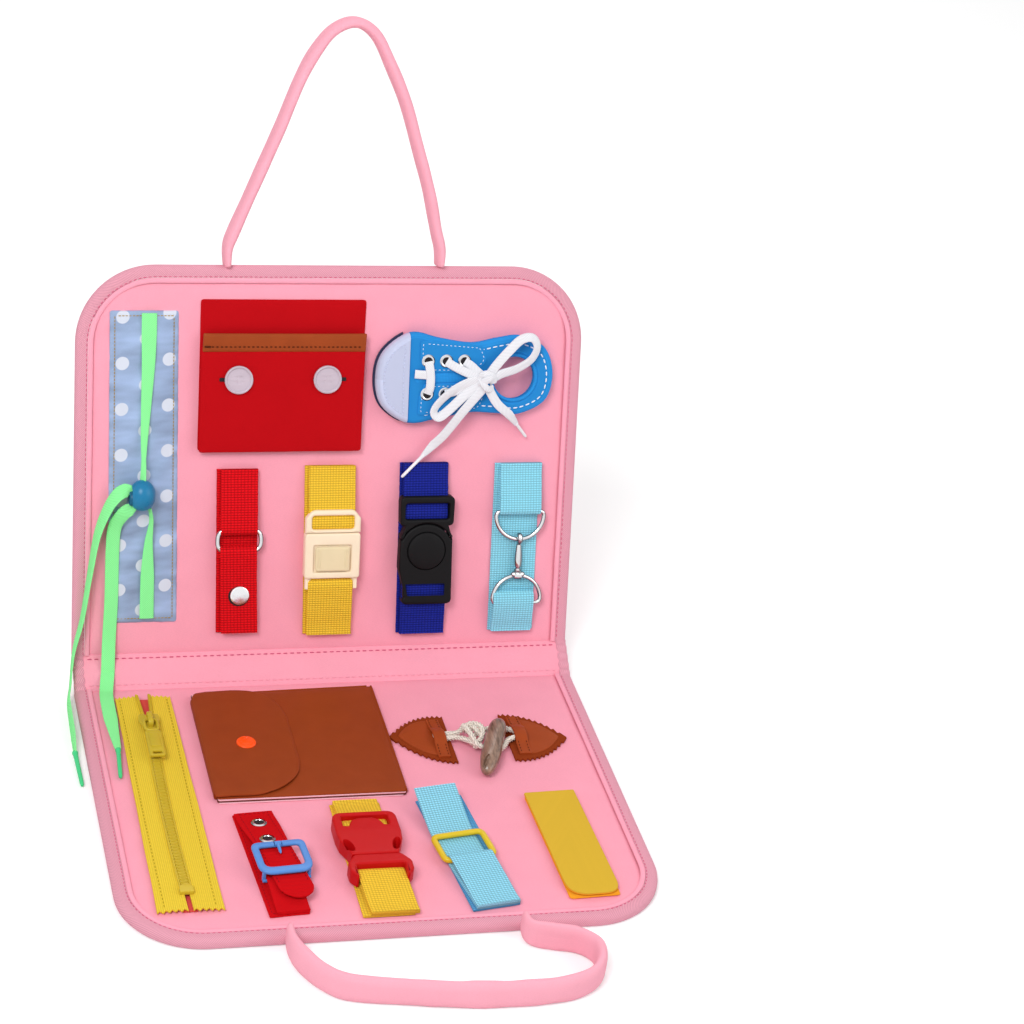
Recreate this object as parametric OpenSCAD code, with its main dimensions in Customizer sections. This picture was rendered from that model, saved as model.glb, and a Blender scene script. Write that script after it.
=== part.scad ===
// Folding cloth busy board: two padded panels joined by a cloth spine.
// Every piece on a panel is drawn in (u, v, h): u runs across the panel from its
// middle, v from the fold line towards the outer edge, and h up from the page.

/* [Panels] */
// Width of each panel
panel_w = 300; // [290:1:320]
// Height of each panel, from its fold line to its outer edge
panel_h = 230; // [228:1:250]
// Thickness of a padded panel
panel_t = 6; // [5:0.5:8]
// Radius of the outer corners of a panel
corner_r = 45; // [20:1:50]
// Width of the binding tape round a panel
binding_w = 7; // [5:0.5:9]
// Thickness of the page cloth
page_t = 1.4; // [1:0.1:2]
// Width of the cloth spine between the two fold lines
spine_w = 20.8; // [18:0.1:30]
// Thickness of the spine
spine_t = 2.4; // [1.6:0.1:3]
// Angle of the upper panel above flat open
fold_angle = 72.6; // [60:0.1:90]
// Clearance between a soft piece and what moves beside it
soft_gap = 0.3; // [0.2:0.05:0.5]

/* [Handles] */
// Width of the folded handle band
band_w = 17; // [12:0.5:20]
// Thickness of the folded handle band
band_t = 7; // [5:0.5:9]
// Width of the flat handle end at the panel
tab_w = 16; // [12:0.5:20]
// Thickness of the flat handle end
tab_t = 4; // [3:0.5:5]

/* [Drawstring] */
// Middle of the dotted channel patch, across
patch_u = -110.5; // [-112:0.5:-108]
// Width of the dotted channel patch
patch_w = 41; // [36:0.5:42]
// Lower end of the dotted patch
patch_v0 = 19.5; // [15:0.5:25]
// Length of the dotted patch
patch_l = 185; // [170:1:190]
// Thickness of the dotted patch
patch_t = 1.2; // [0.8:0.1:1.4]
// Width of the flat lace
lace_w = 8; // [5:0.5:8]
// Thickness of the flat lace
lace_t = 1; // [0.8:0.1:1.2]
// Radius of the round cord lock
lock_r = 7.8; // [7.5:0.1:8]
// Radius of the cord lock's plunger
plunger_r = 4.5; // [3.5:0.1:4.8]
// Travel of the cord lock's plunger
plunger_travel = 2.5; // [1:0.1:3]

/* [Pouch] */
// Middle of the felt pouch, across
pouch_u = -30.8; // [-34:0.2:-28]
// Lower edge of the pouch
pouch_v0 = 121.5; // [119:0.5:123]
// Width of the pouch
pouch_w = 98.3; // [90:0.1:100]
// Height of the pouch back
pouch_h = 89.5; // [80:0.5:90]
// Height of the pouch front flap
pouch_flap_h = 69; // [60:0.5:75]
// Thickness of the felt
felt_t = 1.6; // [1.2:0.1:2]
// Space inside the closed pouch
pouch_space = 2.4; // [2:0.1:3]
// Width of the trim along the flap's free edge
trim_w = 8.5; // [6:0.5:12]
// Diameter of a pouch button
button_d = 16.7; // [12:0.1:20]
// Distance between the two buttons
button_pitch = 52.6; // [40:0.1:60]
// Height of the buttons above the flap's fold
button_rise = 42; // [30:0.5:46]

/* [Lacing shoe] */
// Radius of the round toe
toe_r = 27.2; // [24:0.1:28]
// Radius of the round heel
heel_r = 24; // [22:0.1:25]
// Place of the toe's centre, across
toe_u = 51; // [50:0.5:53]
// Place of the heel's centre, across
heel_u = 107.5; // [105:0.5:109]
// Height of the shoe's long axis on the panel
shoe_v = 166; // [164:0.5:167]
// Width of the shoe at its waist
waist_w = 42; // [38:0.5:44]
// Thickness of the padded shoe
shoe_t = 8; // [6:0.5:9]
// Place of the toe cap's straight edge, across
cap_u = 46; // [44:0.5:48]
// Radius of the shoe's mouth
mouth_r = 13; // [11:0.5:14]
// Distance between two eyelets along the shoe
eyelet_pitch = 10.7; // [10:0.1:11]
// Distance between the two rows of eyelets
eyelet_span = 25.5; // [22:0.5:27]
// Outer diameter of a shoe eyelet
eyelet_d = 6.4; // [5:0.1:7]
// Width of the flat shoe lace
shoelace_w = 4.2; // [3:0.1:4.4]

/* [Webbing] */
// Thickness of the webbing
web_t = 1.3; // [1:0.1:1.5]
// Radius of the hole that webbing leaves round a bar
web_hole_r = 1.6; // [1.5:0.05:1.8]
// Radius of the metal and plastic bars that webbing holds
bar_r = 1.2; // [0.9:0.05:1.3]
// Lower end of the upper panel's straps
strap_v0 = 10; // [8:0.5:11]
// Upper end of the upper panel's straps
strap_v1 = 112.5; // [111:0.5:114]

/* [Snap strap] */
// Middle of the snap strap, across
snap_u = -55.7; // [-57:0.1:-54]
// Width of the snap strap
snap_w = 24.4; // [22:0.1:25]
// Place of the ring's middle along the strap
ring_v = 68.7; // [66:0.1:71]
// Width of the oval ring
ring_w = 28; // [26.5:0.5:30]
// Height of the oval ring
ring_h = 13; // [11:0.5:15]
// Place of the snap along the strap
snap_v = 34; // [25:0.5:45]
// Diameter of the snap cap
snap_d = 11.3; // [9:0.1:13]

/* [Catch buckle] */
// Middle of the catch buckle, across
catch_u = 1; // [-1:0.5:3]
// Width of the yellow strap
catch_strap_w = 29.5; // [27:0.5:31]
// Lower end of the catch body
catch_v0 = 45.5; // [43:0.5:46.5]
// Length of the catch body
catch_l = 27.5; // [26:0.5:28.5]
// Width of the catch body
catch_w = 33.2; // [33:0.1:35]
// Thickness of the catch body
catch_t = 7; // [6.5:0.1:8]
// Length of the catch tongue's frame
catch_frame_l = 13.7; // [12.5:0.1:15]
// Width of a catch prong
prong_w = 2.4; // [2:0.1:2.6]
// Size of the catch's press button across and along
catch_button = [20.6, 14.6];

/* [Round button buckle] */
// Middle of the black buckle, across
click_u = 59; // [58:0.5:60]
// Width of the navy strap
click_strap_w = 29; // [27:0.5:31]
// Place of the round button along the strap
click_v = 61; // [60:0.5:62]
// Width of the black buckle
click_w = 33; // [32:0.5:34]
// Length of the black buckle, end to end
click_l = 66; // [64:0.5:68]
// Thickness of the black buckle
click_t = 8; // [7.5:0.1:9]
// Diameter of the round button
click_button_d = 23; // [20:0.5:24]
// Height of a strap slot
click_slot_h = 9.8; // [8:0.1:10]
// Width of a strap slot
click_slot_w = 26.5; // [25:0.5:27]

/* [Ring and hook strap] */
// Middle of the light blue strap, across
hook_u = 114.8; // [113:0.1:116]
// Width of the light blue strap
hook_strap_w = 28; // [26:0.5:29]
// Width of a D-ring
dring_w = 32; // [31:0.5:33]
// Place of the upper D-ring's bar
dring_top_v = 81.5; // [80:0.5:83]
// Place of the lower D-ring's bar
dring_low_v = 26.5; // [25:0.5:28]
// Thickness of the swivel hook
hook_t = 3; // [2.5:0.1:3.5]

/* [Zip] */
// Middle of the zip, across
zip_u = -112; // [-112.5:0.1:-110]
// Upper end of the zip
zip_v0 = 11; // [9:0.5:13]
// Length of the zip
zip_l = 196; // [180:1:205]
// Width of one zip tape
tape_w = 15.9; // [14:0.1:16]
// Gap between the two tapes
tape_gap = 2.6; // [2.4:0.1:3]
// Thickness of a zip tape
tape_t = 0.8; // [0.6:0.1:1]
// Height of the tapes' inner edges above the page
tape_rise = 1.7; // [1.6:0.1:2]
// Width of the stitched margin of a tape
tape_margin = 5; // [4:0.5:6]
// Width of the closed row of teeth
teeth_w = 5.4; // [4.6:0.1:6]
// Height of the teeth
teeth_h = 1.9; // [1.6:0.1:2.2]
// Distance between two teeth
teeth_pitch = 3; // [2.5:0.1:5]
// Place of the slider along the zip
slider_v = 41.5; // [32:0.5:50]
// Length of the pull tab
pull_l = 36; // [28:0.5:40]

/* [Wallet] */
// Middle of the wallet, across
wallet_u = -30; // [-31:0.5:-28]
// Upper edge of the wallet
wallet_v0 = 9.5; // [8:0.5:11]
// Width of the wallet
wallet_w = 108; // [100:0.5:109]
// Height of the wallet
wallet_h = 104.5; // [98:0.5:106]
// Thickness of the wallet's leather
leather_t = 1.5; // [1.2:0.1:1.8]
// Reach of the wallet's flap from its fold
wallet_flap_l = 52; // [45:0.5:60]
// Radius of the flap's round corners
wallet_flap_r = 34; // [20:1:40]
// Diameter of the wallet's snap
wallet_snap_d = 11.4; // [9:0.1:14]
// Place of the wallet's snap from the flap's fold
wallet_snap_u = 23.5; // [15:0.5:30]
// Place of the wallet's snap from the wallet's upper edge
wallet_snap_v = 57; // [45:0.5:65]

/* [Toggle] */
// Middle of the toggle's cords, across
toggle_u = 84; // [82:0.5:86]
// Height of the toggle's cords on the panel
toggle_v = 64.5; // [62:0.5:67]
// Length of one leather patch
patch_leaf_l = 33; // [30:0.5:34]
// Width of a leather patch
patch_leaf_w = 46; // [40:0.5:48]
// Place of the two patches' inner edges from the toggle's middle
leaf_gap = [26.5, 13];
// Diameter of the cotton cord
cotton_d = 3.6; // [3:0.1:4]
// Length of the toggle
toggle_l = 46; // [40:0.5:48]
// Diameter of the toggle
toggle_d = 11; // [9:0.5:12]
// Lean of the toggle from straight up the panel
toggle_lean = 22; // [0:1:30]
// Place of the toggle's middle below the cords
toggle_drop = 17.5; // [14:0.5:20]

/* [Belt] */
// Middle of the belt, across
belt_u = -63.7; // [-65:0.1:-62]
// Width of the belt
belt_w = 22; // [20:0.5:23]
// Upper end of the belt
belt_v0 = 125; // [122:0.5:127]
// Length of the belt
belt_l = 88.5; // [86:0.5:92]
// Thickness of the belt's felt
belt_t = 1.1; // [0.9:0.1:1.3]
// Middle of the buckle's frame along the belt
belt_buckle_v = 175.5; // [173:0.5:177]
// Width of the blue buckle
belt_buckle_w = 30; // [29:0.5:33]
// Height of the blue buckle
belt_buckle_h = 27; // [24:0.5:29]
// Diameter of a belt eyelet
belt_eyelet_d = 9; // [7:0.1:10]
// Slant of the belt
belt_slant = 4; // [0:0.5:6]

/* [Side release buckle] */
// Middle of the side release buckle, across
clip_u = -8; // [-10:0.5:-6]
// Width of its strap
clip_strap_w = 28.5; // [26:0.5:30]
// Upper end of its strap
clip_strap_v0 = 120.5; // [118:0.5:122]
// Length of its strap
clip_strap_l = 98; // [94:0.5:102]
// Upper end of the socket
clip_v0 = 140; // [138:0.5:142]
// Length of the socket
clip_socket_l = 37; // [36:0.5:38.5]
// Width of the socket
clip_w = 36; // [35:0.5:37]
// Thickness of the buckle
clip_t = 9; // [8:0.5:10]
// Length of the plug's base
clip_base_l = 18; // [16:0.5:20]

/* [Loop slider strap] */
// Middle of the sky blue strap, across
glide_u = 44.5; // [44:0.5:46]
// Slant of the sky blue strap
glide_slant = 8; // [0:0.5:9]
// Width of the sky blue strap
glide_w = 28; // [26:0.5:28]
// Upper end of the strap
glide_v0 = 119; // [117:0.5:122]
// Length of the strap
glide_l = 98; // [94:0.5:102]
// Middle of the loop slider along the strap
loop_v = 167.5; // [165:0.5:169]
// Width of the loop slider
loop_w = 31.5; // [31.5:0.5:34]
// Height of the loop slider
loop_h = 24; // [22:0.5:26]

/* [Peel strip] */
// Middle of the peel strip, across
peel_u = 105; // [102:0.5:107]
// Width of the peel strip
peel_w = 30; // [26:0.5:32]
// Upper end of the peel strip
peel_v0 = 120; // [117:0.5:125]
// Length of the peel strip
peel_l = 91; // [80:0.5:95]
// Thickness of one layer of the strip
peel_t = 1.6; // [1.2:0.1:2.2]

/* [Hidden] */
$fn = 48;
hinge_y = panel_h / 2;
hull_fn = 32;
clear = 0.25;           // between two hard pieces that slide
seam = 0.2;             // between pieces of one panel
hem = 5;                // sewn end of a strap
web_r = web_hole_r + web_t;
base_web = web_t;       // a strap's layer on the page
bar_h = base_web + soft_gap + web_r;  // middle of a bar held over a strap
hard_h = base_web + 0.4;              // underside of a buckle over a strap
mid_h = -panel_t / 2;   // middle of a panel's thickness
loop_room = 2 * web_t + 3.6;  // height a buckle leaves for the webbing's two layers

// Lock, tails and strands of the drawstring
lock_c = [-112, 96.5, patch_t + 0.3 + lock_r];
slot_h = 4;
// A point d above the middle of the spine, the same in both panels' (u, v, h)
function over_spine(u, d) = [u, d * sin(fold_angle / 2) - spine_mid[0],
                             d * cos(fold_angle / 2) + spine_mid[1]];
spine_mid = [spine_w / 2 * cos(fold_angle / 2), spine_w / 2 * sin(fold_angle / 2)];
strand_top = [[-112, 103.4, 10.2], [-110, 112, 9], [-109, 134, 5], [-108.7, 164, 2.4],
              [-108.7, 200, 2.2]];
strand_low = [[-112, 89.2, 8.9], [-107.5, 80, 6.5], [-106.5, 64, 4], [-107, 44, 2.6],
              [-107.3, 23, 2.2]];
tail_a_up = [[-120.6, 101.2, 9.5], [-126, 98.6, 9.5], [-131.6, 90, 8], [-137, 74, 5.4],
             [-141, 50, 4.8], [-145, 24, 4.8], [-149.4, 6, 5.2],
             over_spine(-151.4, 3)];
tail_a_low = [over_spine(-151.4, 3), [-152.6, 1, 4], [-154.4, 10, 0.4],
              [-154.8, 24, -1.2], [-155.2, 42, -1.4], [-155.8, 58, -2.4]];
tail_b_up = [[-118.6, 89.4, 9], [-122.5, 87, 8], [-127, 78, 4.4], [-127.8, 62, 2.4],
             [-128, 34, 2.1], [-129, 10, 2], over_spine(-130, 0.8)];
tail_b_low = [over_spine(-130, 0.8), [-132, 4, 2.4], [-133, 14, 3],
              [-133.2, 34, 2.9], [-132.6, 64, 2.8]];
aglet_a = [[-155.8, 58.4, -2.9], [-154.8, 86, -4.4]];
aglet_b = [[-132.6, 64.4, 2.9], [-134.2, 88, 1.6]];
aglet_r = 1.4;
dring_corner = 2.4;     // bend of a D-ring's two corners
meet_dir = [0, cos(fold_angle / 2), -sin(fold_angle / 2)];
flat_up = [0, 0, 1];
side_up = [-1, 0, 0];

// Handle routes, as points of the band's middle line in (u, v)
upper_route = [[-64, 240], [-61, 249], [-50, 275], [-36, 308], [-25, 336], [-16, 353],
               [-6, 365], [6.5, 369.5], [18, 363], [27, 347], [37, 325], [45, 300],
               [53, 274], [58, 252], [61, 240]];
lower_route = [[-64, 240], [-60, 253], [-52, 266], [-40, 275], [-12, 281], [18, 286],
               [50, 288], [74, 286], [88, 280], [95, 270], [96, 258], [88, 249],
               [76, 245], [64, 240]];
route_edge = 230;       // the panel edge that both routes start from
route_shift = panel_h - route_edge;
tab_pivot = 0.4;        // from the panel's edge to the handle's flat end

// Bow of the shoe lace
knot_c = [88.6, 164.5, shoe_t + 2.4];
bow_big = [[89, 166, 10.6], [96, 176, 12], [106, 188, 13], [117, 190, 13.4], [122, 183, 13],
           [116, 172, 12.4], [106, 160, 11.4], [97, 157.5, 11], [90, 163, 10.6]];
bow_low = [[88, 163, 10.8], [80, 152, 10.6], [70, 143, 9.6], [62, 142, 9.4], [61, 148, 10],
           [68, 155, 11], [78, 160, 11.4], [87, 165, 11]];
end_one = [[86.8, 160.1, 13], [76, 147, 12.3], [66, 132, 8], [60, 125, 5.4], [48, 112, 4.8],
           [41.6, 105.6, 5.2]];
end_two = [[90.1, 160.1, 13], [96, 151, 12.4], [104, 144, 11], [112, 135, 5.4],
           [117.4, 128.6, 2.6]];

// ---- frames ----

// The upper panel's frame, folded up about the two lines of the spine
module upper_frame() {
    translate([0, hinge_y, panel_t]) rotate([fold_angle / 2, 0, 0])
        translate([0, spine_w, 0]) rotate([fold_angle / 2, 0, 0]) children();
}

module spine_frame() {
    translate([0, hinge_y, panel_t]) rotate([fold_angle / 2, 0, 0]) children();
}

module lower_frame() {
    translate([0, hinge_y, panel_t]) mirror([0, 1, 0]) children();
}

// ---- shapes used again ----

module rounded(w, l, r) {
    square([w - 2 * r, l], center = true);
    square([w, l - 2 * r], center = true);
    for (x = [-1, 1], y = [-1, 1])
        translate([x * (w / 2 - r), y * (l / 2 - r)]) circle(r = r);
}

// A plate of a rounded outline, its lower face at h
module plate(w, l, t, r = 0.6, h = 0) {
    translate([0, 0, h]) linear_extrude(t) rounded(w, l, r);
}

// A profile drawn in (v, h), spread across u
module across(w) {
    translate([-w / 2, 0, 0]) rotate([90, 0, 90]) linear_extrude(w) children();
}

// A round bar along u
module bar(w, r) {
    translate([-w / 2, 0, 0]) rotate([0, 90, 0]) cylinder(r = r, h = w);
}

// A straight strap layer from v0 to v1
module layer(w, v0, v1, t, h = 0) {
    translate([-w / 2, v0, h]) cube([w, v1 - v0, t]);
}

// Webbing folded round a bar at v = 0, its ends sewn down at v = reach, base_h below the bar
module web_loop(w, reach, base_h, dir = 1) {
    mirror([0, dir > 0 ? 0 : 1, 0]) across(w) difference() {
        union() {
            circle(r = web_r);
            polygon([[0, -web_r], [reach, -base_h], [reach, 2 * web_t - base_h],
                     [reach - hem, 2 * web_t - base_h], [0, web_r]]);
        }
        circle(r = web_hole_r);
        polygon([[0, -web_hole_r], [reach - hem, web_t - base_h], [0, web_hole_r]]);
    }
}

// A closed loop of round wire with rounded corners
module wire_loop(w, l, r, corner) {
    a = w / 2 - r;
    b = l / 2 - r;
    for (y = [-1, 1]) translate([0, y * b, 0]) bar(2 * (a - corner), r);
    for (x = [-1, 1]) translate([x * a, corner - b, 0]) rotate([-90, 0, 0])
        cylinder(r = r, h = 2 * (b - corner));
    for (q = [[1, 1, 0], [-1, 1, 90], [-1, -1, 180], [1, -1, 270]])
        translate([q[0] * (a - corner), q[1] * (b - corner), 0])
            rotate([0, 0, q[2]]) rotate_extrude(angle = 90) translate([corner, 0]) circle(r = r);
}

// A D-ring: a straight bar at v = 0 with round corners and a bow that reaches towards -v
module d_ring(w, r) {
    a = w / 2 - r;
    bar(2 * (a - dring_corner), r);
    for (x = [0, 1]) mirror([x, 0, 0]) translate([a - dring_corner, -dring_corner, 0])
        rotate_extrude(angle = 90) translate([dring_corner, 0]) circle(r = r);
    translate([0, -dring_corner, 0]) rotate([0, 0, 180])
        rotate_extrude(angle = 180) translate([a, 0]) circle(r = r);
}

function unit(a) = a / norm(a);

function smooth_point(p, i, t) =
    let (a = p[max(i - 1, 0)], b = p[i], c = p[i + 1], d = p[min(i + 2, len(p) - 1)])
    0.5 * (2 * b + (c - a) * t + (2 * a - 5 * b + 4 * c - d) * t * t
           + (3 * b - a - 3 * c + d) * t * t * t);

// A smooth curve through hand-set points, with n steps between two of them
function smooth_path(p, n) =
    [for (i = [0 : len(p) - 2], k = [0 : n - 1]) smooth_point(p, i, k / n), p[len(p) - 1]];

function tangent(p, i) = unit(p[min(i + 1, len(p) - 1)] - p[max(i - 1, 0)]);

function ring_at(c, side, up, w, t) =
    [for (k = [0 : 7]) let (a = 22.5 + 45 * k)
        c + side * w / 2 * cos(a) / cos(22.5) + up * t / 2 * sin(a) / cos(22.5)];

// A flat lace swept along a path; its broad face turns from up0 to up1, and its
// ends can be given a width and a direction
module ribbon(p, w, t, up0 = flat_up, up1 = flat_up, start_w = 0, dir0 = [], dir1 = []) {
    n = len(p);
    rings = [for (i = [0 : n - 1])
        let (along = i == 0 && dir0 != [] ? dir0 : i == n - 1 && dir1 != [] ? dir1 : tangent(p, i),
             mix = i / (n - 1),
             up = unit(up0 * (1 - mix) + up1 * mix),
             side = unit(cross(along, up)), top = cross(side, along))
        ring_at(p[i], side, top, i == 0 && start_w > 0 ? start_w : w, t)];
    polyhedron(
        points = [for (r = rings) each r],
        faces = concat(
            [[for (k = [7 : -1 : 0]) k]],
            [for (i = [0 : n - 2], k = [0 : 7])
                let (a = 8 * i, b = 8 * (i + 1), m = (k + 1) % 8)
                each [[a + k, a + m, b + m], [a + k, b + m, b + k]]],
            [[for (k = [0 : 7]) 8 * (n - 1) + k]]),
        convexity = 6);
}

// A straight round piece between two points
module rod(a, b, r) {
    d = b - a;
    translate(a) rotate([0, acos(d[2] / norm(d)), atan2(d[1], d[0])])
        cylinder(r = r, h = norm(d));
}

// ---- panels and spine ----

// Outline of a panel from its fold line, drawn in by `inset` on three sides
module panel_outline(inset = 0) {
    w = panel_w - 2 * inset;
    l = panel_h - inset;
    r = max(corner_r - inset, 2);
    translate([-w / 2, seam]) square([w, l - r - seam]);
    translate([r - w / 2, seam]) square([w - 2 * r, l - seam]);
    for (x = [-1, 1]) translate([x * (w / 2 - r), l - r]) circle(r = r, $fn = 96);
}

module panel_cover() {
    translate([0, 0, -panel_t]) linear_extrude(panel_t - page_t - seam)
        panel_outline(binding_w + seam);
}

module panel_page() {
    translate([0, 0, -page_t]) linear_extrude(page_t) panel_outline(binding_w + seam);
}

module panel_binding() {
    translate([0, 0, -panel_t]) linear_extrude(panel_t) difference() {
        panel_outline(0);
        panel_outline(binding_w);
        translate([binding_w - panel_w / 2, 0]) square([panel_w - 2 * binding_w, 1]);
    }
}

module lower_cover() { color("pink") lower_frame() panel_cover(); }
module lower_page() { color("lightpink") lower_frame() panel_page(); }
module lower_binding() { color("hotpink") lower_frame() panel_binding(); }
module upper_cover() { color("pink") upper_frame() panel_cover(); }
module upper_page() { color("lightpink") upper_frame() panel_page(); }
module upper_binding() { color("hotpink") upper_frame() panel_binding(); }

module spine_cloth() {
    color("lightpink") spine_frame() translate([-panel_w / 2, seam, -spine_t])
        cube([panel_w, spine_w - 2 * seam, spine_t]);
}

// ---- handles ----

module band(route) {
    for (i = [0 : len(route) - 2]) hull() for (p = [route[i], route[i + 1]])
        translate([p[0], p[1] + route_shift]) circle(d = band_t, $fn = hull_fn);
}

module handle_tabs(route) {
    for (p = [route[0], route[len(route) - 1]])
        translate([p[0] - tab_w / 2, panel_h + tab_pivot, mid_h - tab_t / 2])
            cube([tab_w, p[1] - route_edge, tab_t]);
}

module upper_handle() {
    color("lightpink") upper_frame() {
        translate([0, 0, mid_h - band_w / 2]) linear_extrude(band_w) band(upper_route);
        handle_tabs(upper_route);
    }
}

module lower_handle() {
    color("lightpink") lower_frame() {
        translate([0, 0, -panel_t]) linear_extrude(band_w) band(lower_route);
        handle_tabs(lower_route);
    }
}

// ---- drawstring on the upper panel ----

module dotted_patch() {
    color("lightsteelblue") upper_frame() translate([patch_u, patch_v0 + patch_l / 2, 0])
        plate(patch_w, patch_l, patch_t);
}

module lace_strands() {
    color("palegreen") upper_frame() {
        ribbon(smooth_path(strand_top, 2), lace_w, lace_t, start_w = lace_w - 3);
        ribbon(smooth_path(strand_low, 2), lace_w, lace_t, start_w = lace_w - 3);
    }
}

module lace_tail_a_up() {
    color("palegreen") upper_frame()
        ribbon(smooth_path(tail_a_up, 2), lace_w, lace_t, flat_up, side_up, lace_w - 5,
               dir1 = -meet_dir);
}

module lace_tail_b_up() {
    color("palegreen") upper_frame()
        ribbon(smooth_path(tail_b_up, 2), lace_w, lace_t, start_w = lace_w - 5,
               dir1 = -meet_dir);
}

module lace_tail_a_low() {
    color("palegreen") lower_frame() {
        ribbon(smooth_path(tail_a_low, 2), lace_w, lace_t, side_up, [-1, 0, 0.8],
               dir0 = meet_dir);
        rod(aglet_a[0], aglet_a[1], aglet_r);
    }
}

module lace_tail_b_low() {
    color("palegreen") lower_frame() {
        ribbon(smooth_path(tail_b_low, 2), lace_w, lace_t, dir0 = meet_dir);
        rod(aglet_b[0], aglet_b[1], aglet_r);
    }
}

// The slot that the laces run through, across the lock's plunger
module lace_slot(shift) {
    translate([shift - 6.5, -lock_r - 1, -slot_h / 2])
        cube([lace_w + 2.6, 2 * lock_r + 2, slot_h]);
}

module lock_body() {
    color("steelblue") upper_frame() translate(lock_c) difference() {
        rotate([0, 90, 0]) rotate_extrude() difference() {
            intersection() {
                circle(r = lock_r, $fn = 96);
                translate([0, -lock_r]) square([lock_r, 2 * lock_r]);
            }
            translate([-1, -lock_r]) square([plunger_r + clear + 1, lock_r + 3 + plunger_travel]);
        }
        lace_slot(0);
    }
}

module lock_plunger() {
    color("teal") upper_frame() translate(lock_c) difference() {
        translate([-lock_r + 0.2, 0, 0]) rotate([0, 90, 0])
            cylinder(r = plunger_r, h = lock_r + 2);
        lace_slot(0.2);
    }
}

// ---- pouch with two buttons ----

module pouch_back() {
    color("firebrick") upper_frame() translate([pouch_u, pouch_v0, 0]) {
        layer(pouch_w, 0, pouch_h, felt_t);
        for (x = [-1, 1]) translate([x * (pouch_w - 2) / 2, 0, 0])
            layer(2, 3, pouch_flap_h - trim_w, pouch_space, felt_t);
    }
}

pouch_front_h = felt_t + pouch_space + soft_gap;

module pouch_flap() {
    color("crimson") upper_frame() translate([pouch_u, pouch_v0, pouch_front_h]) {
        layer(pouch_w, 0, pouch_flap_h, felt_t);
        layer(pouch_w, pouch_flap_h - trim_w, pouch_flap_h, 1, felt_t);
    }
}

module pouch_buttons() {
    color("lavender") upper_frame()
        translate([pouch_u, pouch_v0 + button_rise, pouch_front_h + felt_t])
        for (x = [-1, 1]) translate([x * button_pitch / 2, 0, 0]) difference() {
            cylinder(d = button_d, h = 2.4);
            translate([0, 0, 1.6]) cylinder(d = button_d - 3.4, h = 2);
            for (a = [45 : 90 : 315]) rotate([0, 0, a]) translate([2.7, 0, -1])
                cylinder(d = 1.5, h = 5);
        }
}

// ---- lacing shoe ----

module shoe_outline() {
    translate([toe_u, shoe_v]) circle(r = toe_r, $fn = 96);
    translate([heel_u, shoe_v]) circle(r = heel_r, $fn = 96);
    translate([toe_u, shoe_v - waist_w / 2]) square([heel_u - toe_u, waist_w]);
}

module shoe_mouth() {
    translate([heel_u - 1, shoe_v - 0.5, -1]) cylinder(r = mouth_r, h = shoe_t + 2);
}

module shoe_upper() {
    color("dodgerblue") upper_frame() difference() {
        linear_extrude(shoe_t) intersection() {
            shoe_outline();
            translate([cap_u + seam, 0]) square([200, 400]);
        }
        shoe_mouth();
    }
}

module shoe_cap() {
    color("lavender") upper_frame() linear_extrude(shoe_t + 1) intersection() {
        shoe_outline();
        translate([cap_u - 200, 0]) square([200, 400]);
    }
}

module eyelet_places() {
    for (i = [0 : 2], y = [-1, 1])
        translate([cap_u + 9.3 + i * eyelet_pitch, shoe_v + y * eyelet_span / 2, shoe_t])
            children();
}

module shoe_eyelets() {
    color("silver") upper_frame() eyelet_places() difference() {
        cylinder(d = eyelet_d, h = 0.8);
        translate([0, 0, -1]) cylinder(d = eyelet_d - 3, h = 3);
    }
}

module shoe_lace() {
    color("white") upper_frame() {
        for (i = [0 : 2]) translate([cap_u + 9.3 + i * eyelet_pitch, shoe_v, shoe_t + 0.8])
            layer(shoelace_w, 1 - eyelet_span / 2, eyelet_span / 2 - 1, 0.8);
        translate(knot_c) cube([6, 6, 3.2], center = true);
        ribbon(smooth_path(bow_big, 1), shoelace_w, 1);
        ribbon(smooth_path(bow_low, 1), shoelace_w, 1);
    }
}

module shoe_lace_ends() {
    color("white") upper_frame() {
        ribbon(smooth_path(end_one, 1), shoelace_w, 0.9);
        ribbon(smooth_path(end_two, 1), shoelace_w, 0.9);
    }
}

// ---- snap strap with its ring ----

ring_bar_v = ring_h / 2 - bar_r;

module snap_strap() {
    color("red") upper_frame() translate([snap_u, 0, 0]) {
        layer(snap_w, strap_v0 + 2, strap_v1 - 1.5, base_web);
        translate([0, ring_v + ring_bar_v, bar_h])
            web_loop(snap_w - 4, strap_v1 - 1.5 - ring_v - ring_bar_v, bar_h - base_web);
        translate([0, snap_v, base_web]) cylinder(d = 7, h = 1);
    }
}

module snap_tail() {
    color("crimson") upper_frame() translate([snap_u, 0, 0]) {
        reach = ring_v - ring_bar_v - strap_v0 - 2;
        translate([0, ring_v - ring_bar_v, bar_h]) difference() {
            mirror([0, 1, 0]) across(snap_w - 4) difference() {
                union() {
                    circle(r = web_r);
                    polygon([[0, 0], [12, web_t + 2.4 - web_r], [reach, web_t + 2.4 - web_r],
                             [reach, 2 * web_t + 2.4 - web_r], [12, 2 * web_t + 2.4 - web_r],
                             [0, web_r]]);
                }
                circle(r = web_hole_r);
            }
        }
        translate([0, snap_v, bar_h + 2 * web_t + 2.4 - web_r]) cylinder(d = snap_d, h = 2.2);
    }
}

module strap_ring() {
    color("silver") upper_frame() translate([snap_u, ring_v, bar_h])
        wire_loop(ring_w, ring_h, bar_r, 4);
}

// ---- catch buckle ----

catch_top = catch_v0 + catch_l;
prong_x = catch_w / 2 - 1 - prong_w / 2;
prong_t = 3;
prong_h = hard_h + 2;
lug_w = 1.2;
lug_x = prong_x - prong_w / 2 - soft_gap - lug_w / 2;
catch_web_w = 2 * lug_x - lug_w - 2 * soft_gap;

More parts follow.
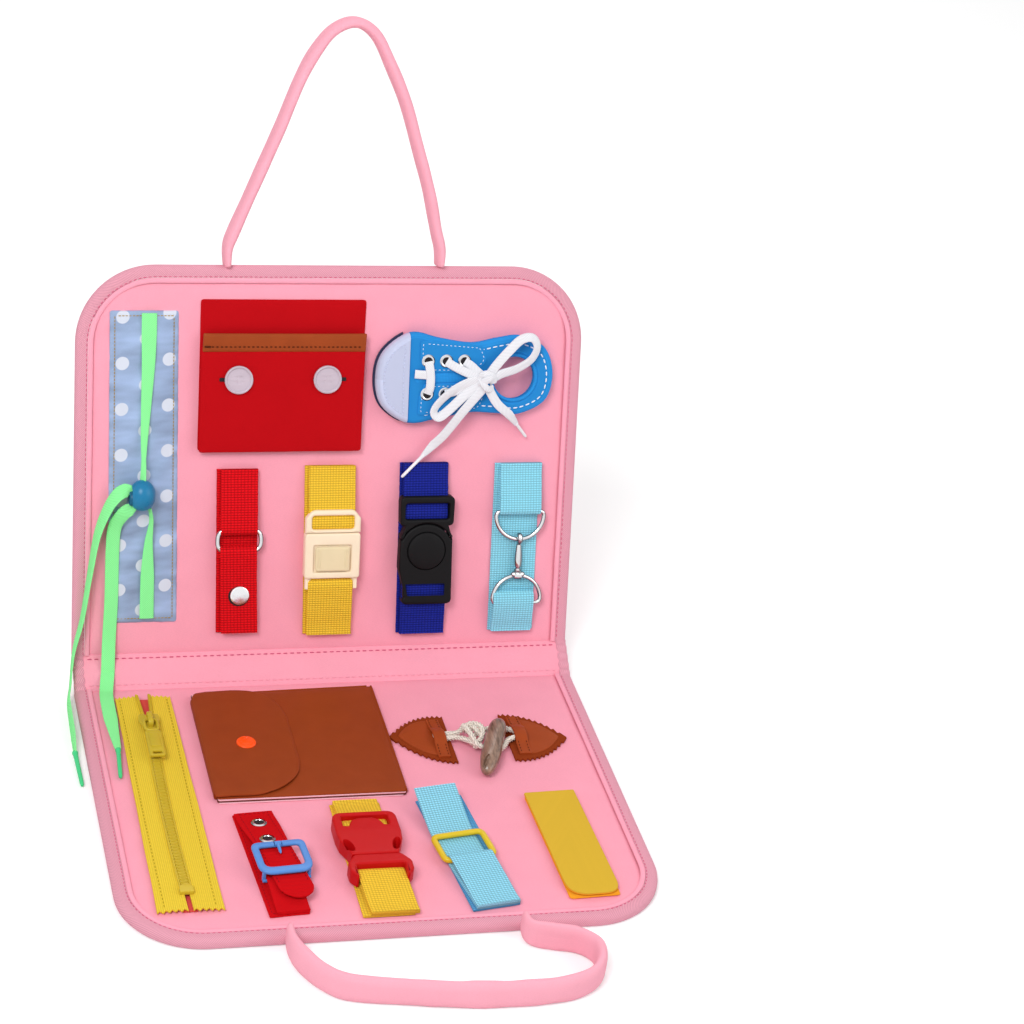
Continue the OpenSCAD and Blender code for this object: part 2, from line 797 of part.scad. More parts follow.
module catch_straps() {
    color("gold") upper_frame() translate([catch_u - 1.75, 0, 0]) {
        layer(catch_strap_w, strap_v0, strap_v1, base_web);
        translate([1.75, catch_top + 4.2, bar_h])
            web_loop(catch_web_w, strap_v1 - catch_top - 4.2, bar_h - base_web);
        translate([1.75, catch_v0 - 3.2, bar_h])
            web_loop(catch_web_w, catch_v0 - 3.2 - strap_v0, bar_h - base_web, -1);
    }
}

module catch_body() {
    color("bisque") upper_frame() translate([catch_u, 0, hard_h]) difference() {
        union() {
            translate([0, catch_v0 + catch_l / 2, 0]) plate(catch_w, catch_l, catch_t, 1.5);
            translate([0, catch_v0 - 3.2, bar_h - hard_h]) bar(2 * lug_x + lug_w, bar_r);
            for (x = [-1, 1]) translate([x * lug_x - lug_w / 2, catch_v0 - 4.4, 1.6])
                cube([lug_w, 6, 3]);
        }
        for (x = [-1, 1])
            translate([x * prong_x - prong_w / 2 - clear, catch_v0 - 1, prong_h - hard_h - clear])
                cube([prong_w + 2 * clear, catch_l + 2, prong_t + 2 * clear]);
        translate([0, catch_v0 + 12, catch_t - 2.5])
            linear_extrude(5) rounded(catch_button[0] + 2 * clear, catch_button[1] + 2 * clear, 0.8);
    }
}

module catch_button() {
    color("moccasin") upper_frame() translate([catch_u, catch_v0 + 12, hard_h + catch_t - 1])
        plate(catch_button[0], catch_button[1], 1.8, 0.8);
}

module catch_tongue() {
    color("navajowhite") upper_frame() translate([catch_u, 0, 0]) {
        translate([0, catch_top + 4.2, bar_h]) bar(2 * prong_x, bar_r);
        for (x = [-1, 1]) {
            translate([x * prong_x - prong_w / 2, catch_v0 - 7, prong_h])
                cube([prong_w, catch_l + 7 + catch_frame_l, prong_t]);
            translate([x * prong_x - prong_w / 2, catch_top + clear, prong_h])
                cube([prong_w, catch_frame_l - clear, catch_t - 2]);
        }
        translate([-prong_x - prong_w / 2, catch_top + catch_frame_l - 3, prong_h + prong_t])
            cube([2 * prong_x + prong_w, 3, catch_t - 2 - prong_t]);
    }
}

// ---- round button buckle ----

click_v0 = click_v - click_l / 2;
click_v1 = click_v + click_l / 2;
arch_r = click_w / 2 - 0.2;
click_slot_v = click_l / 2 - 4.2 - click_slot_h / 2;
click_bar_v = click_slot_v - click_slot_h / 2 + 1.6;
blade = [16, 2.6];

module click_slot() {
    translate([0, 0, -1]) linear_extrude(click_t + 2) rounded(click_slot_w, click_slot_h, 1.2);
}

module click_straps() {
    color("navy") upper_frame() translate([click_u - 3.2, 0, 0]) {
        layer(click_strap_w, strap_v0 - 1, strap_v1 + 1, base_web);
        translate([3.2, click_v + click_bar_v, bar_h])
            web_loop(click_slot_w - 3, strap_v1 + 1 - click_v - click_bar_v, bar_h - base_web);
        translate([3.2, click_v - click_bar_v, bar_h])
            web_loop(click_slot_w - 3, click_v - click_bar_v - strap_v0 + 1, bar_h - base_web, -1);
    }
}

// The end frame shared by both halves: a plate with a strap slot, a bar and room for the loop
module click_end(v0, v1, side) {
    difference() {
        translate([0, (v0 + v1) / 2, hard_h]) plate(click_w, v1 - v0, click_t, 1.6);
        translate([0, click_v + side * click_slot_v, hard_h]) click_slot();
        translate([0, click_v + side * click_bar_v, bar_h])
            bar(click_slot_w, web_r + soft_gap);
        translate([-click_slot_w / 2, side > 0 ? click_v1 - 5 : click_v0 - 1, hard_h - 1])
            cube([click_slot_w, 6, loop_room]);
    }
    translate([0, click_v + side * click_bar_v, bar_h]) bar(click_slot_w + 1, bar_r);
}

module click_body() {
    color("dimgray") upper_frame() translate([click_u, 0, 0]) difference() {
        union() {
            click_end(click_v0, click_v + 7, -1);
            translate([0, click_v, hard_h]) cylinder(r = arch_r, h = click_t);
        }
        translate([0, click_v, hard_h + click_t - 3])
            cylinder(d = click_button_d + 2 * clear, h = 5);
        translate([-blade[0] / 2 - clear, click_v - 10, hard_h + 1.6 - clear])
            cube([blade[0] + 2 * clear, 40, blade[1] + 2 * clear]);
    }
}

module click_tongue() {
    color("gray") upper_frame() translate([click_u, 0, 0]) {
        difference() {
            click_end(click_v + 7 + clear, click_v1, 1);
            translate([0, click_v, hard_h - 1]) cylinder(r = arch_r + clear, h = click_t + 2);
        }
        translate([-blade[0] / 2, click_v - 9, hard_h + 1.6]) cube([blade[0], 26, blade[1]]);
    }
}

module click_button() {
    color("black") upper_frame() translate([click_u, click_v, hard_h + click_t - 1.6])
        cylinder(d = click_button_d, h = 2.4);
}

// ---- rings and hook ----

dring_h = bar_h;
low_arc_v = dring_low_v + dring_corner + dring_w / 2 - bar_r;
top_arc_v = dring_top_v - dring_corner - dring_w / 2 + bar_r;

module hook_straps() {
    color("skyblue") upper_frame() translate([hook_u, 0, 0]) {
        layer(hook_strap_w, strap_v0 - 1, strap_v1, base_web);
        translate([0, dring_top_v, dring_h])
            web_loop(hook_strap_w - 4, strap_v1 - dring_top_v, dring_h - base_web);
        translate([0, dring_low_v, dring_h])
            web_loop(hook_strap_w - 4, dring_low_v - strap_v0 + 1, dring_h - base_web, -1);
    }
}

module d_ring_top() {
    color("silver") upper_frame() translate([hook_u + 1, dring_top_v, dring_h])
        d_ring(dring_w, bar_r);
}

// The lower ring carries the swivel hook, whose open side faces the page
module d_ring_low() {
    color("gainsboro") upper_frame() translate([hook_u + 1, 0, dring_h]) {
        translate([0, dring_low_v, 0]) mirror([0, 1, 0]) d_ring(dring_w, bar_r);
        translate([0, low_arc_v, 0]) bar(3.4, bar_r + 1.2);
        translate([0, low_arc_v, 0]) rotate([-90, 0, 0])
            cylinder(r = hook_t / 2, h = top_arc_v - low_arc_v - 4);
        translate([0, top_arc_v - 4.4, 0]) rotate([-90, 0, 0]) cylinder(r = 2, h = 1.6);
        translate([0, top_arc_v, 0]) across(hook_t) difference() {
            circle(r = bar_r + 2.2);
            circle(r = bar_r + 0.6);
            translate([-bar_r - 0.6, -6]) square([2 * bar_r + 1.2, 6]);
            translate([-0.1, -6]) square([8, 5.4]);
        }
    }
}

// ---- zip on the lower panel ----

zip_v1 = zip_v0 + zip_l;
pinks = 5;

// A tape's outline with pinked ends, its inner edge on u = 0
module tape_outline() {
    step = tape_w / pinks;
    polygon(concat(
        [for (i = [0 : pinks - 1]) each [[i * step, zip_v0], [(i + 0.5) * step, zip_v0 + 2]]],
        [[tape_w, zip_v0]],
        [for (i = [pinks : -1 : 1]) each [[i * step, zip_v1], [(i - 0.5) * step, zip_v1 - 2]]],
        [[0, zip_v1]]));
}

module zipper_tapes() {
    color("gold") lower_frame() translate([zip_u, 0, 0]) for (x = [0, 1]) mirror([x, 0, 0])
        translate([tape_gap / 2, 0, 0]) {
            translate([0, 0, tape_rise]) linear_extrude(tape_t) tape_outline();
            linear_extrude(tape_rise + 0.1) intersection() {
                tape_outline();
                translate([tape_w - tape_margin, 0]) square([tape_margin, 400]);
            }
        }
}

teeth_h0 = tape_rise + tape_t;
teeth_v0 = slider_v + 8;
teeth_n = floor((zip_v1 - 18 - teeth_v0) / teeth_pitch);

module zipper_teeth() {
    color("goldenrod") lower_frame() translate([zip_u, teeth_v0, teeth_h0])
        linear_extrude(teeth_h) polygon(concat(
            [for (i = [0 : teeth_n - 1]) each
                [[-teeth_w / 2, i * teeth_pitch], [-teeth_w / 2, (i + 0.6) * teeth_pitch],
                 [0.4 - teeth_w / 2, (i + 0.6) * teeth_pitch],
                 [0.4 - teeth_w / 2, (i + 1) * teeth_pitch]]],
            [for (i = [teeth_n : -1 : 1]) each
                [[teeth_w / 2 - 0.4, i * teeth_pitch], [teeth_w / 2 - 0.4, (i - 0.4) * teeth_pitch],
                 [teeth_w / 2, (i - 0.4) * teeth_pitch], [teeth_w / 2, (i - 1) * teeth_pitch]]]));
}

slider_top = teeth_h0 + teeth_h + clear;
slider_l = 15;
slider_w = 12;
bail_h = slider_top + 1.2 + 1.4;
bail_r = 1.1;

module zip_slider() {
    color("olive") lower_frame() translate([zip_u, slider_v, 0]) {
        translate([0, 0, soft_gap]) plate(slider_w - 2, slider_l, 1, 2);
        translate([0, 0, slider_top]) plate(slider_w, slider_l, 1.2, 2.5);
        translate([-1, -slider_l / 2 + 1, soft_gap]) cube([2, 4, slider_top]);
        translate([0, 0, slider_top + 1.2]) across(3) difference() {
            translate([-5.5, -0.2]) square([11, 4.4]);
            translate([-3.6, -1]) square([7.2, 3.9]);
        }
    }
}

module zip_pull() {
    color("darkkhaki") lower_frame() translate([zip_u, slider_v, bail_h]) {
        bar(8.6, bail_r);
        for (x = [-1, 1]) translate([x * 3.5 - 0.9, 0, -0.9]) cube([1.8, 12, 1.8]);
        translate([0, 11 + (pull_l - 11) / 2, -0.9]) linear_extrude(1.8) difference() {
            rounded(10, pull_l - 11, 1.5);
            translate([0, (pull_l - 11) / 2 - 6]) rounded(5, 5, 1);
        }
    }
}

// ---- wallet ----

wallet_front_h = leather_t + 1.2;
wallet_flap_h = wallet_front_h + leather_t + soft_gap;
wallet_edge_u = wallet_u - wallet_w / 2;
wallet_fold = 1.5;

module wallet_pocket() {
    color("sienna") lower_frame() translate([wallet_u, wallet_v0, 0]) {
        layer(wallet_w, 0, wallet_h, leather_t);
        layer(wallet_w, 0, wallet_h, leather_t, wallet_front_h);
        translate([wallet_w / 2 - 3, 0, 0]) cube([3, wallet_h, wallet_front_h + leather_t]);
        translate([-wallet_w / 2, 0, 0]) cube([wallet_w, 3, wallet_front_h + leather_t]);
        translate([-wallet_w / 2 - wallet_fold, 0, 0])
            cube([wallet_fold + 0.1, wallet_h, wallet_flap_h - soft_gap]);
    }
}

// The flap turns about the wallet's left edge
module wallet_flap() {
    r = wallet_flap_r;
    color("saddlebrown") lower_frame() translate([wallet_edge_u, wallet_v0, 0]) {
        translate([-wallet_fold, 0, wallet_flap_h]) linear_extrude(leather_t) intersection() {
            square([wallet_flap_l + wallet_fold, wallet_h]);
            union() {
                square([wallet_flap_l + wallet_fold - r, wallet_h]);
                translate([0, r]) square([wallet_flap_l + wallet_fold, wallet_h - 2 * r]);
                for (y = [r, wallet_h - r]) translate([wallet_flap_l + wallet_fold - r, y])
                    circle(r = r, $fn = 96);
            }
        }
    }
}

module wallet_snap() {
    color("orangered") lower_frame()
        translate([wallet_edge_u + wallet_snap_u, wallet_v0 + wallet_snap_v, wallet_flap_h + leather_t])
        cylinder(d = wallet_snap_d, h = 1.8);
}

// ---- toggle closure ----

// A leaf outline with a pinked edge: its straight edge at u = 0, its tip at u = leaf length
module leaf(l, w) {
    teeth = 9;
    bite = 1.4;
    edge = [for (i = [0 : 2 * teeth])
        let (t = i / (2 * teeth), half = w / 2 * (1 - pow(t, 1.8)), cut = i % 2 == 0 ? 0 : bite)
        [l * t, max(half - cut, 0)]];
    polygon(concat([for (p = edge) p], [for (i = [2 * teeth - 1 : -1 : 0]) [edge[i][0], -edge[i][1]]]));
}

module toggle_patches() {
    color("sienna") lower_frame() translate([toggle_u, toggle_v, 0]) {
        translate([-leaf_gap[0], 0, 0]) mirror([1, 0, 0])
            linear_extrude(leather_t) leaf(patch_leaf_l, patch_leaf_w);
        translate([leaf_gap[1], 0, 0])
            linear_extrude(leather_t) leaf(patch_leaf_l, patch_leaf_w);
    }
}

cord_tuck = 8;          // how far the cords lie on the leather
cord_h = leather_t + cotton_d / 2;
toggle_h = cotton_d + toggle_d / 2 - 1.1;
toggle_tip = 9;         // how far the toggle's lower end dips

module toggle_cords() {
    color("beige") lower_frame() translate([toggle_u, toggle_v, cord_h + 0.1]) {
        for (y = [-1, 1]) {
            rod([-leaf_gap[0] - cord_tuck, y * 2, 0], [-6, y * 2, 0], cotton_d / 2);
            rod([2, y * 2, 0], [leaf_gap[1] + cord_tuck, y * 2, 0], cotton_d / 2);
        }
        translate([-11, 0, 1.6]) rotate([90, 0, 0]) translate([0, 0, -4])
            cylinder(r = cotton_d, h = 8);
    }
}

module toggle() {
    l = toggle_l - toggle_d * 0.7;
    color("rosybrown") lower_frame() translate([toggle_u - 3.3, toggle_v + toggle_drop, toggle_h])
        rotate([0, 0, toggle_lean]) rotate([-toggle_tip, 0, 0]) difference() {
        hull() {
            for (y = [-1, 1]) translate([0, y * l / 2, 0])
                resize([toggle_d * 0.8, toggle_d * 0.7, toggle_d * 0.72])
                    sphere(d = toggle_d, $fn = hull_fn);
            resize([toggle_d, toggle_d, toggle_d]) sphere(d = toggle_d, $fn = hull_fn);
        }
        for (y = [-9.5, -2.5]) translate([0, y, -toggle_d]) cylinder(d = 2.6, h = 2 * toggle_d);
    }
}

// ---- belt ----

belt_v1 = belt_v0 + belt_l;
heel_v = belt_buckle_v + belt_buckle_h / 2 - 2;
heel_r2 = 1;
heel_h = belt_t + soft_gap + 2.4;
tail_top = heel_h + heel_r2 + 0.3 + belt_t + soft_gap;
frame_h = tail_top + belt_t + soft_gap + 0.4;
frame_t = 2.2;
ramp_v = belt_buckle_v - belt_buckle_h / 2 - 2;
first_eyelet = 7.5;     // from the sewn end to the first eyelet
belt_mid_v = 168;       // place that the slanted belt is turned about

module belt_frame() {
    lower_frame() translate([belt_u, belt_mid_v, 0]) rotate([0, 0, -belt_slant])
        translate([-belt_u, -belt_mid_v, 0]) children();
}

module belt_straps() {
    color("crimson") belt_frame() translate([belt_u, 0, 0]) {
        layer(belt_w, belt_v0, belt_v1, belt_t);
        translate([2, 0, 0]) across(belt_w - 4) difference() {
            union() {
                translate([heel_v, heel_h]) circle(r = heel_r2 + 0.3 + belt_t);
                polygon([[heel_v, heel_h - heel_r2 - 0.3 - belt_t], [belt_v1, belt_t],
                         [belt_v1, 3 * belt_t], [belt_v1 - hem, 3 * belt_t],
                         [heel_v, heel_h + heel_r2 + 0.3 + belt_t]]);
            }
            translate([heel_v, heel_h]) circle(r = heel_r2 + 0.3);
            polygon([[heel_v, heel_h - heel_r2 - 0.3], [belt_v1 - hem, 2 * belt_t],
                     [heel_v, heel_h + heel_r2 + 0.3]]);
        }
        translate([2.4, 0, 0]) across(belt_w - 3) polygon([
            [belt_v0, belt_t], [belt_v0 + hem, belt_t], [ramp_v, tail_top], [heel_v + 6, tail_top],
            [heel_v + 6, tail_top + belt_t], [ramp_v, tail_top + belt_t],
            [belt_v0 + hem, 2 * belt_t], [belt_v0, 2 * belt_t]]);
        translate([6.5, heel_v + 10, tail_top]) linear_extrude(belt_t) {
            circle(r = belt_w / 2 - 1.5);
            translate([1.5 - belt_w / 2, -8]) square([belt_w - 3, 8]);
        }
    }
}

ramp_slope = atan2(tail_top - belt_t, ramp_v - belt_v0 - hem);

module belt_eyelets() {
    color("silver") belt_frame() for (s = [first_eyelet, ramp_v - belt_v0 - hem - 3.6])
        translate([belt_u + 1, belt_v0 + hem + s,
                   2 * belt_t + s * tan(ramp_slope)])
            rotate([ramp_slope, 0, 0]) difference() {
                cylinder(d = belt_eyelet_d, h = 1);
                translate([0, 0, -1]) cylinder(d = belt_eyelet_d - 4.5, h = 3);
            }
}

module belt_buckle() {
    color("cornflowerblue") belt_frame() translate([belt_u + 4.5, belt_buckle_v, 0]) {
        translate([0, 0, frame_h]) linear_extrude(frame_t) difference() {
            rounded(belt_buckle_w, belt_buckle_h, 5);
            translate([0, -0.8]) rounded(belt_buckle_w - 8, belt_buckle_h - 9.4, 2);
            translate([-2 - clear, -belt_buckle_h / 2 - 1]) square([4 + 2 * clear, 5]);
        }
        translate([0, -belt_buckle_h / 2 + 2, frame_h + frame_t / 2]) bar(8, 0.9);
        for (x = [-1, 1])
            translate([x * (belt_buckle_w / 2 - 1.4) - 1.2, belt_buckle_h / 2 - 3.2, heel_h - 1.2])
                cube([2.4, 2.4, frame_h - heel_h + 2]);
        translate([0, heel_v - belt_buckle_v, heel_h]) bar(belt_buckle_w - 3, heel_r2);
    }
}

module belt_prong() {
    color("royalblue") belt_frame()
        translate([belt_u + 4.5, belt_buckle_v - belt_buckle_h / 2 + 2, frame_h + frame_t / 2])
        difference() {
            union() {
                bar(3.6, 1.7);
                translate([-1.1, 1, -0.6]) cube([2.2, 7, 1.8]);
            }
            bar(6, 0.9 + 0.1);
        }
}

// ---- side release buckle ----

clip_v1 = clip_v0 + clip_socket_l;
clip_h = hard_h;
clip_mouth_w = 24;
clip_slot_w = 24;
clip_bar_v = clip_v0 + 8.5;
clip_window_v = clip_v0 + 7.6;
clip_window_h = 8.4;
arm_t = 4;
arm_v = clip_v1 - 21;   // tips of the plug's arms

module clip_straps() {
    color("gold") lower_frame() translate([clip_u, 0, 0]) {
        layer(clip_strap_w, clip_strap_v0, clip_strap_v0 + clip_strap_l, base_web);
        translate([0, clip_bar_v, bar_h])
            web_loop(clip_slot_w - 2, clip_bar_v - clip_strap_v0, bar_h - base_web, -1);
        translate([1, clip_v1 + clip_base_l - 6, bar_h])
            web_loop(clip_slot_w - 2, clip_strap_v0 + clip_strap_l - clip_v1 - clip_base_l + 6, bar_h - base_web);
    }
}

module clip_outline() {
    translate([0, clip_v0 + 11]) rounded(clip_w, 22, 5);
    translate([0, clip_v1 - 22]) rounded(clip_w, 22, 6);
    polygon([[-clip_w / 2, clip_v1 - 18], [clip_w / 2, clip_v1 - 18],
             [clip_mouth_w / 2 + 3, clip_v1 - 7], [clip_mouth_w / 2 + 1, clip_v1],
             [-clip_mouth_w / 2 - 1, clip_v1], [-clip_mouth_w / 2 - 3, clip_v1 - 7]]);
}

module clip_socket() {
    color("red") lower_frame() translate([clip_u, 0, clip_h]) difference() {
        linear_extrude(clip_t) clip_outline();
        translate([0, clip_window_v, -1]) linear_extrude(clip_t + 2)
            rounded(clip_slot_w, clip_window_h, 1);
        translate([0, clip_bar_v, bar_h - clip_h]) bar(clip_slot_w, web_r + soft_gap);
        translate([-clip_slot_w / 2, clip_v0 - 1, -1]) cube([clip_slot_w, 6, loop_room]);
        translate([-clip_mouth_w / 2, arm_v - 2, (clip_t - arm_t) / 2 - clear])
            cube([clip_mouth_w, clip_socket_l, arm_t + 2 * clear]);
        for (x = [-1, 1])
            translate([x * clip_w / 2 - 6, clip_v1 - 17, (clip_t - arm_t) / 2 - clear])
                cube([12, 11, arm_t + 2 * clear]);
        for (x = [-1, 1]) translate([x * (clip_w / 2 + 1), clip_v1 - 11.5, -1])
            cylinder(r = 6, h = clip_t + 2);
    }
    color("red") lower_frame() translate([clip_u, clip_bar_v, bar_h]) bar(clip_slot_w + 1, bar_r);
}

module clip_plug() {
    base_w = 33;
    color("firebrick") lower_frame() translate([clip_u + 1, 0, 0]) {
        difference() {
            translate([0, clip_v1 + clear + (clip_base_l - clear) / 2, clip_h])
                plate(base_w, clip_base_l - clear, clip_t, 5);
            translate([-clip_slot_w / 2, clip_v1 + clip_base_l - 10, clip_h - 1])
                cube([clip_slot_w, 12, clip_t + 2]);
        }
        translate([0, clip_v1 + clip_base_l - 6, bar_h]) bar(clip_slot_w + 2, bar_r);
        for (x = [-1, 1]) translate([x * 8.6 - 2.6, arm_v, clip_h + (clip_t - arm_t) / 2])
            cube([3.2, clip_v1 + 3 - arm_v, arm_t]);
        translate([-2.6, arm_v + 3, clip_h + (clip_t - arm_t) / 2])
            cube([3.2, clip_v1 + 1 - arm_v, arm_t]);
    }
}

// ---- loop slider strap ----

glide_v1 = glide_v0 + glide_l;
loop_bar_r = 1.5;
loop_bar_v = loop_h / 2 - loop_bar_r;
glide_r = loop_bar_r + 0.4 + web_t;
loop_bar_h = base_web + soft_gap + glide_r;
glide_lift = 10;        // height of the strap's free end

// The strap's own frame, turned about the middle of its loop
module glide_frame() {
    lower_frame() translate([glide_u, loop_v, 0]) rotate([0, 0, -glide_slant])
        translate([0, -loop_v, 0]) children();
}

module glide_straps() {
    color("lightskyblue") glide_frame() {
        layer(glide_w, glide_v0, glide_v1, base_web);
        translate([0, loop_v + loop_bar_v, loop_bar_h]) across(loop_w - 8) difference() {
            union() {
                circle(r = glide_r);
                polygon([[0, -glide_r], [glide_v1 - loop_v - loop_bar_v, base_web - loop_bar_h],
                         [glide_v1 - loop_v - loop_bar_v, 3 * web_t - loop_bar_h],
                         [0, glide_r]]);
            }
            circle(r = glide_r - web_t);
        }
        translate([-1, 0, 0]) across(loop_w - 8) polygon([
            [loop_v + loop_bar_v - glide_r - 1.5, base_web], [loop_v - 14, base_web],
            [loop_v - 26, 3.2], [glide_v0 + 2, glide_lift],
            [glide_v0 + 2, glide_lift + 2 * web_t],
            [loop_v - 26, 3.2 + 2 * web_t], [loop_v - 14, base_web + web_t],
            [loop_v + loop_bar_v - glide_r - 1.5, base_web + web_t]]);
    }
}

module loop_slider() {
    color("goldenrod") glide_frame() translate([0, loop_v, loop_bar_h])
        wire_loop(loop_w, loop_h, loop_bar_r, 3);
}

// ---- peel strip ----

module peel_base() {
    color("khaki") lower_frame() translate([peel_u, 0, 0])
        layer(peel_w, peel_v0, peel_v0 + peel_l, peel_t);
}

module peel_top() {
    r = 8;
    color("gold") lower_frame() translate([peel_u, peel_v0, peel_t + soft_gap])
        linear_extrude(peel_t) {
            translate([-peel_w / 2, 0]) square([peel_w, peel_l - r]);
            translate([r - peel_w / 2, 0]) square([peel_w - 2 * r, peel_l]);
            for (x = [-1, 1]) translate([x * (peel_w / 2 - r), peel_l - r]) circle(r = r);
        }
}

lower_cover();
lower_page();
lower_binding();
zipper_tapes();
zipper_teeth();
zip_slider();
zip_pull();
wallet_pocket();
wallet_flap();
wallet_snap();
toggle_patches();
toggle_cords();
toggle();
belt_straps();
belt_eyelets();
belt_buckle();
belt_prong();
clip_straps();
clip_socket();
clip_plug();
glide_straps();
loop_slider();
peel_base();
peel_top();
lower_handle();
lace_tail_a_low();
lace_tail_b_low();
spine_cloth();
upper_cover();
upper_page();
upper_binding();
dotted_patch();
lace_strands();
lace_tail_a_up();
lace_tail_b_up();
lock_body();
lock_plunger();
pouch_back();
pouch_flap();
pouch_buttons();
shoe_upper();
shoe_cap();
shoe_eyelets();
shoe_lace();
shoe_lace_ends();
snap_strap();
snap_tail();
strap_ring();
catch_straps();
catch_body();
catch_button();
catch_tongue();
click_straps();
click_body();
click_tongue();
click_button();
hook_straps();
d_ring_top();
d_ring_low();
upper_handle();
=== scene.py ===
"""Looks of the folding cloth busy board: felt panels, webbing, buckles, zip, laces and pouches.

Every piece on a panel is made in millimetres as (u, v, h): u across the panel, v from the
fold line outwards and h up from the page. put() then lays it on its panel, in metres.
"""
import math

import bpy
from mathutils import Matrix, Vector, noise


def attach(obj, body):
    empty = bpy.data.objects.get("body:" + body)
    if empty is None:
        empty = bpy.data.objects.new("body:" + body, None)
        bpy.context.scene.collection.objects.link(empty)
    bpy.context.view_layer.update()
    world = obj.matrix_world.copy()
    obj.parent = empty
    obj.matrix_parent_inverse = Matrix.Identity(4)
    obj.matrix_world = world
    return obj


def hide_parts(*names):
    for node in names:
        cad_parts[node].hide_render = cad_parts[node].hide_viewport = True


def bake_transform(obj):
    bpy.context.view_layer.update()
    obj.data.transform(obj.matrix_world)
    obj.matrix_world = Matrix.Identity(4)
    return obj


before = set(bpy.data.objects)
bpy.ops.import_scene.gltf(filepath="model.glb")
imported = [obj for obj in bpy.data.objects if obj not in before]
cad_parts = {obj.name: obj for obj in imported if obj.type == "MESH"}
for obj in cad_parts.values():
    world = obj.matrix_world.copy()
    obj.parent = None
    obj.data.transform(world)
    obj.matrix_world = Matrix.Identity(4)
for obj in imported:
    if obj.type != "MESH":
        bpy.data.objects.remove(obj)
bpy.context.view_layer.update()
SCENE = bpy.context.scene

# ---- sizes, in millimetres, as in the part's source ----

PANEL_W, PANEL_H, PANEL_T, CORNER_R = 300, 230, 6, 45
BINDING_W, SPINE_W, HALF_FOLD = 7, 20.8, math.radians(36.3)
# webbing's thickness, and the heights of its sewn middle line and of the bars it goes round
WEB_T, SEWN_H, BAR_H = 1.3, 0.68, 4.5

METRES = Matrix.Scale(0.001, 4)
LOWER = METRES @ Matrix.Translation((0, PANEL_H / 2, PANEL_T)) @ Matrix.Diagonal((1, -1, 1, 1))
SPINE = (METRES @ Matrix.Translation((0, PANEL_H / 2, PANEL_T))
         @ Matrix.Rotation(HALF_FOLD, 4, "X"))
UPPER = SPINE @ Matrix.Translation((0, SPINE_W, 0)) @ Matrix.Rotation(HALF_FOLD, 4, "X")
# a seat is a place for pieces and the body that they ride on there
ON_LOWER, ON_SPINE, ON_UPPER = (LOWER, "lower_panel"), (SPINE, "spine"), (UPPER, "upper_panel")


def turned_seat(u, v, degrees, drawn_u, stretch=1.0):
    """A seat on the lower panel for pieces that are drawn at drawn_u and lie askew at u."""
    return (LOWER @ Matrix.Translation((u, v, 0)) @ Matrix.Rotation(math.radians(degrees), 4, "Z")
            @ Matrix.Diagonal((1, stretch, 1, 1)) @ Matrix.Translation((-drawn_u, -v, 0)),
            "lower_panel")


# ---- camera, floor and light ----

def stand_camera():
    """The camera looks down over the open board from its front left."""
    yaw, pitch, roll = (math.radians(a) for a in (18.1, 30.4, 8.32))
    ahead = Vector((math.sin(yaw) * math.cos(pitch), math.cos(yaw) * math.cos(pitch),
                    -math.sin(pitch)))
    right = ahead.cross(Vector((0, 0, 1))).normalized()
    above = right.cross(ahead)
    right, above = (right * math.cos(roll) + above * math.sin(roll),
                    above * math.cos(roll) - right * math.sin(roll))
    data = bpy.data.cameras.new("camera")
    data.sensor_width = 36
    data.lens = 99.84
    camera = bpy.data.objects.new("camera", data)
    SCENE.collection.objects.link(camera)
    turn = Matrix((right, above, -ahead)).transposed().to_4x4()
    camera.matrix_world = Matrix.Translation((-0.3448, -1.2409, 0.9588)) @ turn
    SCENE.camera = camera


def add_lamp(name, place, target, size, power):
    """A round soft lamp that looks at a target."""
    data = bpy.data.lights.new(name, "AREA")
    data.shape = "DISK"
    data.size = size
    data.energy = power
    lamp = bpy.data.objects.new(name, data)
    lamp.location = place
    lamp.rotation_euler = (Vector(target) - Vector(place)).to_track_quat("-Z", "Y").to_euler()
    SCENE.collection.objects.link(lamp)


def light_studio():
    """A white room that lights the board softly and is seen and mirrored as full white."""
    SCENE.view_settings.view_transform = "Standard"
    world = bpy.data.worlds.new("studio")
    SCENE.world = world
    world.use_nodes = True
    nodes, links = world.node_tree.nodes, world.node_tree.links
    nodes.clear()
    path = nodes.new("ShaderNodeLightPath")
    seen = path.outputs["Is Camera Ray"]
    for ray in ("Is Glossy Ray", "Is Transmission Ray"):
        either = nodes.new("ShaderNodeMath")
        either.operation = "MAXIMUM"
        links.new(seen, either.inputs[0])
        links.new(path.outputs[ray], either.inputs[1])
        seen = either.outputs[0]
    mix = nodes.new("ShaderNodeMixShader")
    links.new(seen, mix.inputs[0])
    for socket, strength in ((1, 0.52), (2, 1.0)):
        white = nodes.new("ShaderNodeBackground")
        white.inputs["Color"].default_value = (1, 1, 1, 1)
        white.inputs["Strength"].default_value = strength
        links.new(white.outputs[0], mix.inputs[socket])
    out = nodes.new("ShaderNodeOutputWorld")
    links.new(mix.outputs[0], out.inputs["Surface"])
    add_lamp("key", (-0.9, -1.1, 1.7), (0, 0.05, 0.1), 0.9, 26)
    add_lamp("fill", (1.4, -0.9, 1.2), (0, 0.05, 0.1), 1.4, 9)
    add_lamp("back", (0.3, 1.5, 1.5), (0, 0.1, 0.1), 1.2, 9)


